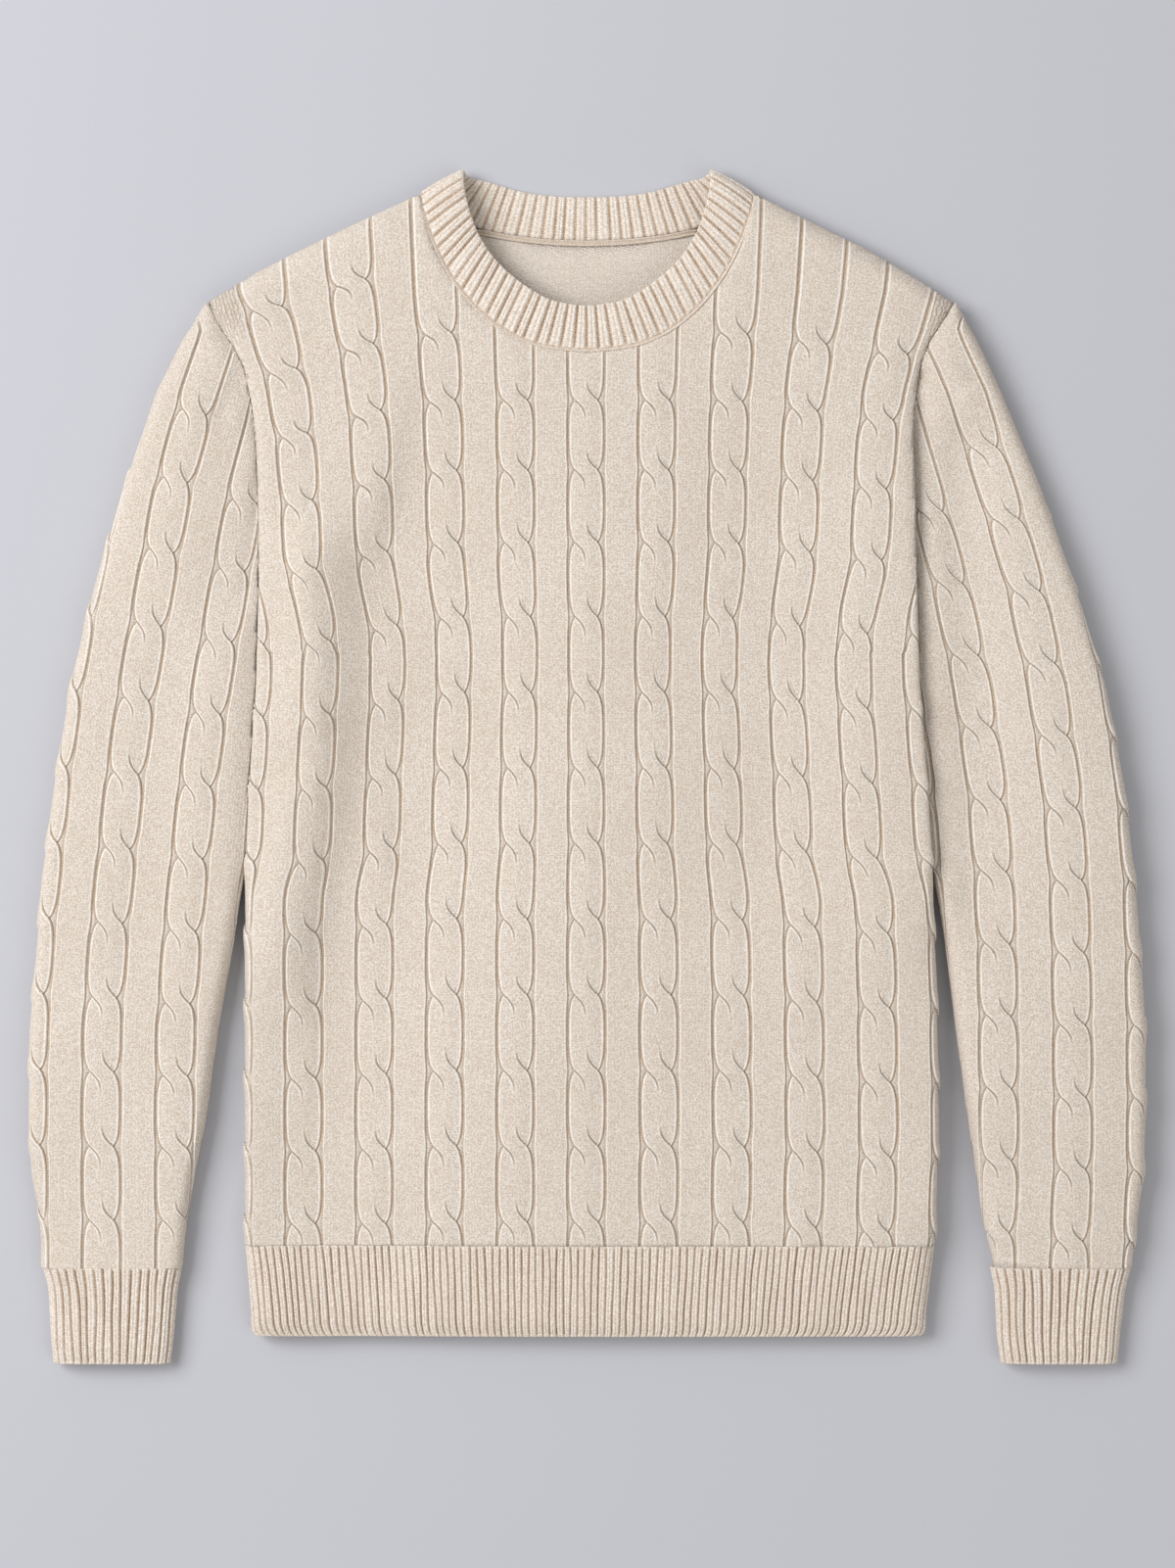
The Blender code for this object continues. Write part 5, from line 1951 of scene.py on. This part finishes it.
        # Painted shade at the tape's lower and upper edges, in its middle groove and on its
        # underside.
        shade = np.array([0.9, 0.2, 0.0, 0.3, 0.7, 0.3, 0.0, 0.2, 0.9, 1.0, 0.9])[:, None]
        shade = shade + 0.0 * points[..., 0]
        ring = np.arange(len(points))[:, None] + 0.0 * points[..., 0]
        relief = Relief(0.0 * shade, ring * 0.5, points[..., 0] / 1.6, shade, 0.0 * shade)
        shell = Shell("neck_tape_links")
        grid = shell.grid(*np.moveaxis(points, -1, 0), relief, False)
        for end, turned in ((0, 1), (-1, -1)):
            loop = [int(index) for index in grid[:-1, end]][::turned]
            shell.triangles += [(loop[0], loop[step], loop[step + 1])
                                for step in range(1, len(loop) - 1)]
        return shell.make(self.body.knits.yarn)


def smooth_line(run: Array, points: Array, places: Array) -> Array:
    """A smooth line through points (Catmull-Rom on uneven spacing).

    Args:
        run: Place of each point along the line, rising.
        points: The points.
        places: Where to read.

    Returns:
        The points there.
    """
    span = np.clip(np.searchsorted(run, places, side="right") - 1, 1, len(run) - 3)
    share = ((places - run[span]) / (run[span + 1] - run[span]))[:, None]
    before, start, end, after = (points[span + step] for step in (-1, 0, 1, 2))
    width = (run[span + 1] - run[span])[:, None]
    leave = (end - before) / (run[span + 1] - run[span - 1])[:, None] * width
    arrive = (after - start) / (run[span + 2] - run[span])[:, None] * width
    a, b = share ** 2, share ** 3
    return ((2 * b - 3 * a + 1) * start + (b - 2 * a + share) * leave
            + (3 * a - 2 * b) * end + (b - a) * arrive)


# ---- stitches


@dataclass(frozen=True)
class Stitches:
    """Small yarn stitches laid one after another along a line.

    Attributes:
        spacing: Distance from one stitch to the next.
        length: Length of a stitch.
        width: Width of a stitch.
        thickness: Thickness of a stitch.
        slant: Turn of a stitch away from the line, in degrees.
    """

    spacing: float = 1.6
    length: float = 2.0
    width: float = 0.85
    thickness: float = 0.6
    slant: float = 20.0

    def tree(self, name: str) -> Tree:
        """The node tree that lays the stitches along a path of edges.

        Args:
            name: The tree's name.

        Returns:
            The tree.
        """
        floats = {label: "Float" for label in ("Spacing", "Length", "Width", "Thickness", "Slant")}
        graph = Graph.group(name, "Geometry", {"Path": "Geometry", **floats, "Yarn": "Material"},
                            {"Stitches": "Geometry"})
        given = graph.add("NodeGroupInput").outputs
        curve = graph.add("GeometryNodeMeshToCurve", Mesh=given["Path"])
        spots = graph.add("GeometryNodeCurveToPoints", {"mode": "LENGTH"}, Curve=curve.outputs[0],
                          Length=given["Spacing"])
        bead = graph.add("GeometryNodeMeshUVSphere", Segments=8, Rings=6, Radius=0.5)
        smooth = graph.add("GeometryNodeSetShadeSmooth", Geometry=bead.outputs["Mesh"])
        size = graph.add("ShaderNodeCombineXYZ", X=given["Width"], Y=given["Thickness"],
                         Z=given["Length"])
        shaped = graph.add("GeometryNodeTransform", Geometry=smooth.outputs[0],
                           Scale=size.outputs[0])
        wobble = graph.add("FunctionNodeRandomValue", {"data_type": "FLOAT"}, Min=-0.12, Max=0.12,
                           Seed=SEED)
        turn = graph.math("ADD", given["Slant"], wobble.outputs[1])
        lean = graph.add("ShaderNodeCombineXYZ", Y=turn)
        leaning = graph.add("FunctionNodeEulerToRotation", Euler=lean.outputs[0])
        facing = graph.add("FunctionNodeAxesToRotation",
                           {"primary_axis": "Z", "secondary_axis": "Y"},
                           Primary_Axis=spots.outputs["Tangent"],
                           Secondary_Axis=(0.0, 0.0, 1.0))
        turned = graph.add("FunctionNodeRotateRotation", {"rotation_space": "LOCAL"},
                           Rotation=facing.outputs[0], Rotate_By=leaning.outputs[0])
        placed = graph.add("GeometryNodeInstanceOnPoints", Points=spots.outputs["Points"],
                           Instance=shaped.outputs[0], Rotation=turned.outputs[0])
        real = graph.add("GeometryNodeRealizeInstances", Geometry=placed.outputs[0])
        dressed = graph.add("GeometryNodeSetMaterial", Geometry=real.outputs[0],
                            Material=given["Yarn"])
        graph.add("NodeGroupOutput", Stitches=dressed.outputs[0])
        return graph.tree

    def along(self, name: str, path: Array, material: Material) -> Object:
        """Lays the stitches along a line and keeps them as a plain mesh.

        Args:
            name: The piece's name.
            path: Points of the line, in millimetres.
            material: The yarn.

        Returns:
            The piece.
        """
        line = bpy.data.meshes.new(name + "_path")
        line.from_pydata((path * MM).tolist(), [(i, i + 1) for i in range(len(path) - 1)], [])
        holder = linked(name + "_path", line)
        layout = holder.modifiers.new("Stitches", "NODES")
        layout.node_group = self.tree(name + " layout")
        values = {"Spacing": self.spacing * MM, "Length": self.length * MM,
                  "Width": self.width * MM, "Thickness": self.thickness * MM,
                  "Slant": float(np.radians(self.slant)), "Yarn": material}
        for socket in layout.node_group.interface.items_tree:
            if socket.name in values:
                layout[socket.identifier] = values[socket.name]
        graph = bpy.context.evaluated_depsgraph_get()
        mesh = bpy.data.meshes.new_from_object(holder.evaluated_get(graph))
        mesh.name = name
        bpy.data.objects.remove(holder, do_unlink=True)
        bpy.data.meshes.remove(line)
        return linked(name, mesh)


# ---- surroundings


@dataclass(frozen=True)
class Studio:
    """The pale surface, the soft light from the upper left and the camera straight above."""

    frame_height: float = 0.9606
    middle: Pair = (0.0003, -0.0108)
    distance: float = 2.4
    focus_z: float = 0.012
    sensor: float = 36.0
    floor_size: float = 8.0
    floor: tuple[float, float, float] = (0.541, 0.549, 0.590)
    sky: tuple[float, float, float] = (1.0, 0.985, 0.965)
    sky_strength: float = 0.43

    def light(self, name: str, at: tuple[float, float, float], size: float, power: float,
              colour: tuple[float, float, float]) -> None:
        """One square soft light that faces the middle of the surface.

        Args:
            name: Its name.
            at: Its place, in metres.
            size: Its width, in metres.
            power: Its power, in watts.
            colour: Its colour.
        """
        lamp = bpy.data.lights.new(name, "AREA")
        lamp.shape, lamp.size, lamp.energy, lamp.color = "SQUARE", size, power, colour
        holder = linked(name, lamp)
        holder.location = at
        holder.rotation_euler = (-Vector(at)).to_track_quat("-Z", "Y").to_euler()

    def build(self) -> None:
        """Makes the surface, the lights, the camera and the plain pale world."""
        scene = bpy.context.scene
        scene.view_settings.view_transform = "Standard"
        world = bpy.data.worlds.new("Studio")
        scene.world = world
        world.use_nodes = True
        sky = world.node_tree.nodes["Background"]
        sky.inputs["Color"].default_value = (*self.sky, 1.0)
        sky.inputs["Strength"].default_value = self.sky_strength

        half = self.floor_size / 2
        mesh = bpy.data.meshes.new("Surface")
        mesh.from_pydata([(-half, -half, 0.0), (half, -half, 0.0), (half, half, 0.0),
                          (-half, half, 0.0)], [], [(0, 1, 2, 3)])
        surface = linked("Surface", mesh)
        material, graph, shader = shaded("Pale surface")
        place = graph.add("ShaderNodeTexCoord").outputs["Object"]
        grain = graph.add("ShaderNodeTexNoise", Vector=place, Scale=900.0, Detail=2.0)
        tone = graph.mix(graph.ranged(grain.outputs[0], 0.3, 0.7), (*self.floor, 1.0),
                         (*(0.985 * part for part in self.floor), 1.0))
        graph.fill(shader, Base_Color=tone, Roughness=0.75, Specular_IOR_Level=0.2)
        mesh.materials.append(material)

        self.light("Window", (-2.1, 0.78, 2.4), 2.0, 91.5, (0.985, 0.99, 1.0))
        self.light("Fill", (1.9, -1.2, 2.6), 2.4, 18.0, (1.0, 0.985, 0.96))

        data = bpy.data.cameras.new("Camera")
        data.sensor_width = self.sensor
        data.lens = self.sensor * self.distance / self.frame_height
        data.clip_start, data.clip_end = 0.1, 20.0
        camera = linked("Camera", data)
        camera.location = (*self.middle, self.focus_z + self.distance)
        scene.camera = camera


# ---- the sweater

RIGHT_FORM = (
    (-306, -334.8, -296.7, -248), (-280, -334.5, -296.7, -245.5), (-250, -340.5, -296.7, -240.3),
    (-214.5, -342.3, -296.7, -233.1), (-160.5, -341.7, -295.8, -226),
    (-106.5, -336.9, -292.2, -216.3), (-70.5, -334.5, -288.6, -211.2),
    (-10.5, -326.4, -282.3, -208.2), (49.5, -316.5, -273.9, -204), (109.5, -302.1, -263.7, -201.9),
    (169.5, -284.7, -252.6, -202.4), (229.5, -264, -236.4, -207.2), (259.5, -249, -226, -219.2),
    (280.5, -236.4, -221, -231), (284.5, -233.4, -220, -231.6))
LEFT_FORM = (
    (-306, 334, 295, 249.5), (-280, 336.9, 295.5, 243), (-250, 341.1, 296.7, 238.5),
    (-214.5, 342.3, 296.7, 233.1), (-160.5, 342.3, 296.4, 226), (-106.5, 338.7, 295.5, 219.3),
    (-70.5, 335.7, 294.3, 213.3), (-10.5, 328.8, 289.5, 209.6), (49.5, 317.7, 280.8, 204.9),
    (109.5, 299.7, 267.9, 202.8), (169.5, 278.7, 250.8, 201.6), (229.5, 254, 231.9, 202),
    (259.5, 240, 218, 210.3), (280.5, 228.6, 212, 223), (284.5, 226.4, 211, 225))
RIGHT_CUFF_FORM = (
    (-366, -327.5, -255.5), (-350, -329, -253.5), (-320, -330.5, -251), (-306.9, -334, -248.3))
LEFT_CUFF_FORM = (
    (-366, 325.5, 254), (-350, 327, 251.5), (-320, 330.5, 250), (-306.9, 334, 247))

DRAPE = Drape(creases=(
    Crease((-170, 30), (-167, 128), (20, 27), 6.4),
    Crease((-188, -115), (-175, -20), (18, 28), 6),
    Crease((-119, 30), (-117, 112), (32, 92), -12),
    Crease((-150, -115), (-126, -15), (30, 66), -11),
    Crease((-162, -275), (-160, -170), (32, 74), -7.2),
    Crease((205, -75), (203, 185), (58, 24), 6.2),
    Crease((104, -40), (106, 145), (66, 40), -4.6),
    Crease((203, -260), (204, -130), (60, 24), 4.2),
))
RIGHT_SLEEVE_DRAPE = Drape(creases=(
    Crease((-214, 105), (-207, 210), (24, 9), -3.8),
    Crease((-224, 214), (-215, 236), (4.5, 7), -1.5),
    Crease((-208, 168), (-205, 196), (6, 4), 1.2),
    Crease((-272, -120), (-258, 60), (26, 22), -2),
    Crease((-318, 20), (-306, 90), (14, 26), 1.6),
    Crease((-300, -270), (-292, -190), (24, 34), -2),
))
LEFT_SLEEVE_DRAPE = Drape(creases=(
    Crease((206, 248), (227, 240), (4.5, 4.5), 1.5),
    Crease((206, 239), (225, 227), (4.5, 5), -1.8),
    Crease((203, 220), (211, 200), (5, 4), -1.6),
    Crease((238, -80), (229, 190), (17, 22), -7),
    Crease((262, -100), (250, 60), (20, 26), -1.8),
    Crease((332, -60), (308, 120), (46, 30), 3),
    Crease((334, -270), (338, -140), (48, 30), 2.6),
))


def dress(piece: Object, nodes: tuple[str, ...]) -> None:
    """Ties a piece to the frame.

    Args:
        piece: The piece.
        nodes: The nodes it stands for.
    """
    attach(piece, "root")
    if nodes:
        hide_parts(*nodes)
    LOG.info("%s: %d faces", piece.name, len(piece.data.polygons))


def main() -> None:
    """Builds the sweater piece by piece, then its surroundings."""
    logging.basicConfig(level=logging.INFO, format="%(name)s: %(message)s")
    groups = Groups(knit_group(), edge_group(), fibre_group())
    jersey = Wool("Cabled jersey")
    ribbing = Wool("Ribbing", light=(0.762, 0.674, 0.587), bright=(0.925, 0.86, 0.79),
                   stitch_depth=0.4, wander=0.3)
    yarn = Wool("Seam yarn", light=(0.72, 0.63, 0.54), stitch_depth=0.2)
    knits = Knits(*(wool.build(groups) for wool in (jersey, ribbing, yarn)))

    body = Body(knits, DRAPE)
    dress(body.back_panel(), ("back_panel",))
    dress(body.front_panel(), ("front_panel",))
    dress(body.hem("back_hem_cloth", False), ("back_hem_rib",))
    dress(body.hem("front_hem_cloth", True), ("front_hem_rib",))

    right = Sleeve(Side.RIGHT, body, RIGHT_SLEEVE_DRAPE, RIGHT_FORM, RIGHT_CUFF_FORM,
                   first_y=-277.5, repeat=45.6, taper=0.78, lag_each=1.44, lag_all=0.0)
    left = Sleeve(Side.LEFT, body, LEFT_SLEEVE_DRAPE, LEFT_FORM, LEFT_CUFF_FORM, first_y=-290.1,
                  repeat=44.1, taper=0.0, lag_each=0.0, lag_all=-6.0, armhole_edge_z=15.4,
                  armhole_reach=22.0, armhole_low=(195.0, 250.0))
    for sleeve in (right, left):
        name = sleeve.side.name.lower()
        dress(sleeve.sleeve(name + "_sleeve_cloth"),
              (name + "_sleeve_top", name + "_sleeve_under"))
        dress(sleeve.cuff(name + "_cuff_cloth"), (name + "_cuff",))

    neck = Neck(body)
    dress(neck.band(), ("neckband",))
    dress(neck.tape(), ("neck_seam_tape",))
    linking = Stitches()
    for name, path in (("neck_seam_stitches", neck.front_seam_path()),
                       ("tape_lower_stitches", neck.tape_path(-1.2, 1.25)),
                       ("tape_upper_stitches", neck.tape_path(1.2, 1.25))):
        dress(linking.along(name, path, knits.yarn), ())

    Studio().build()


if __name__ == "__main__":
    main()
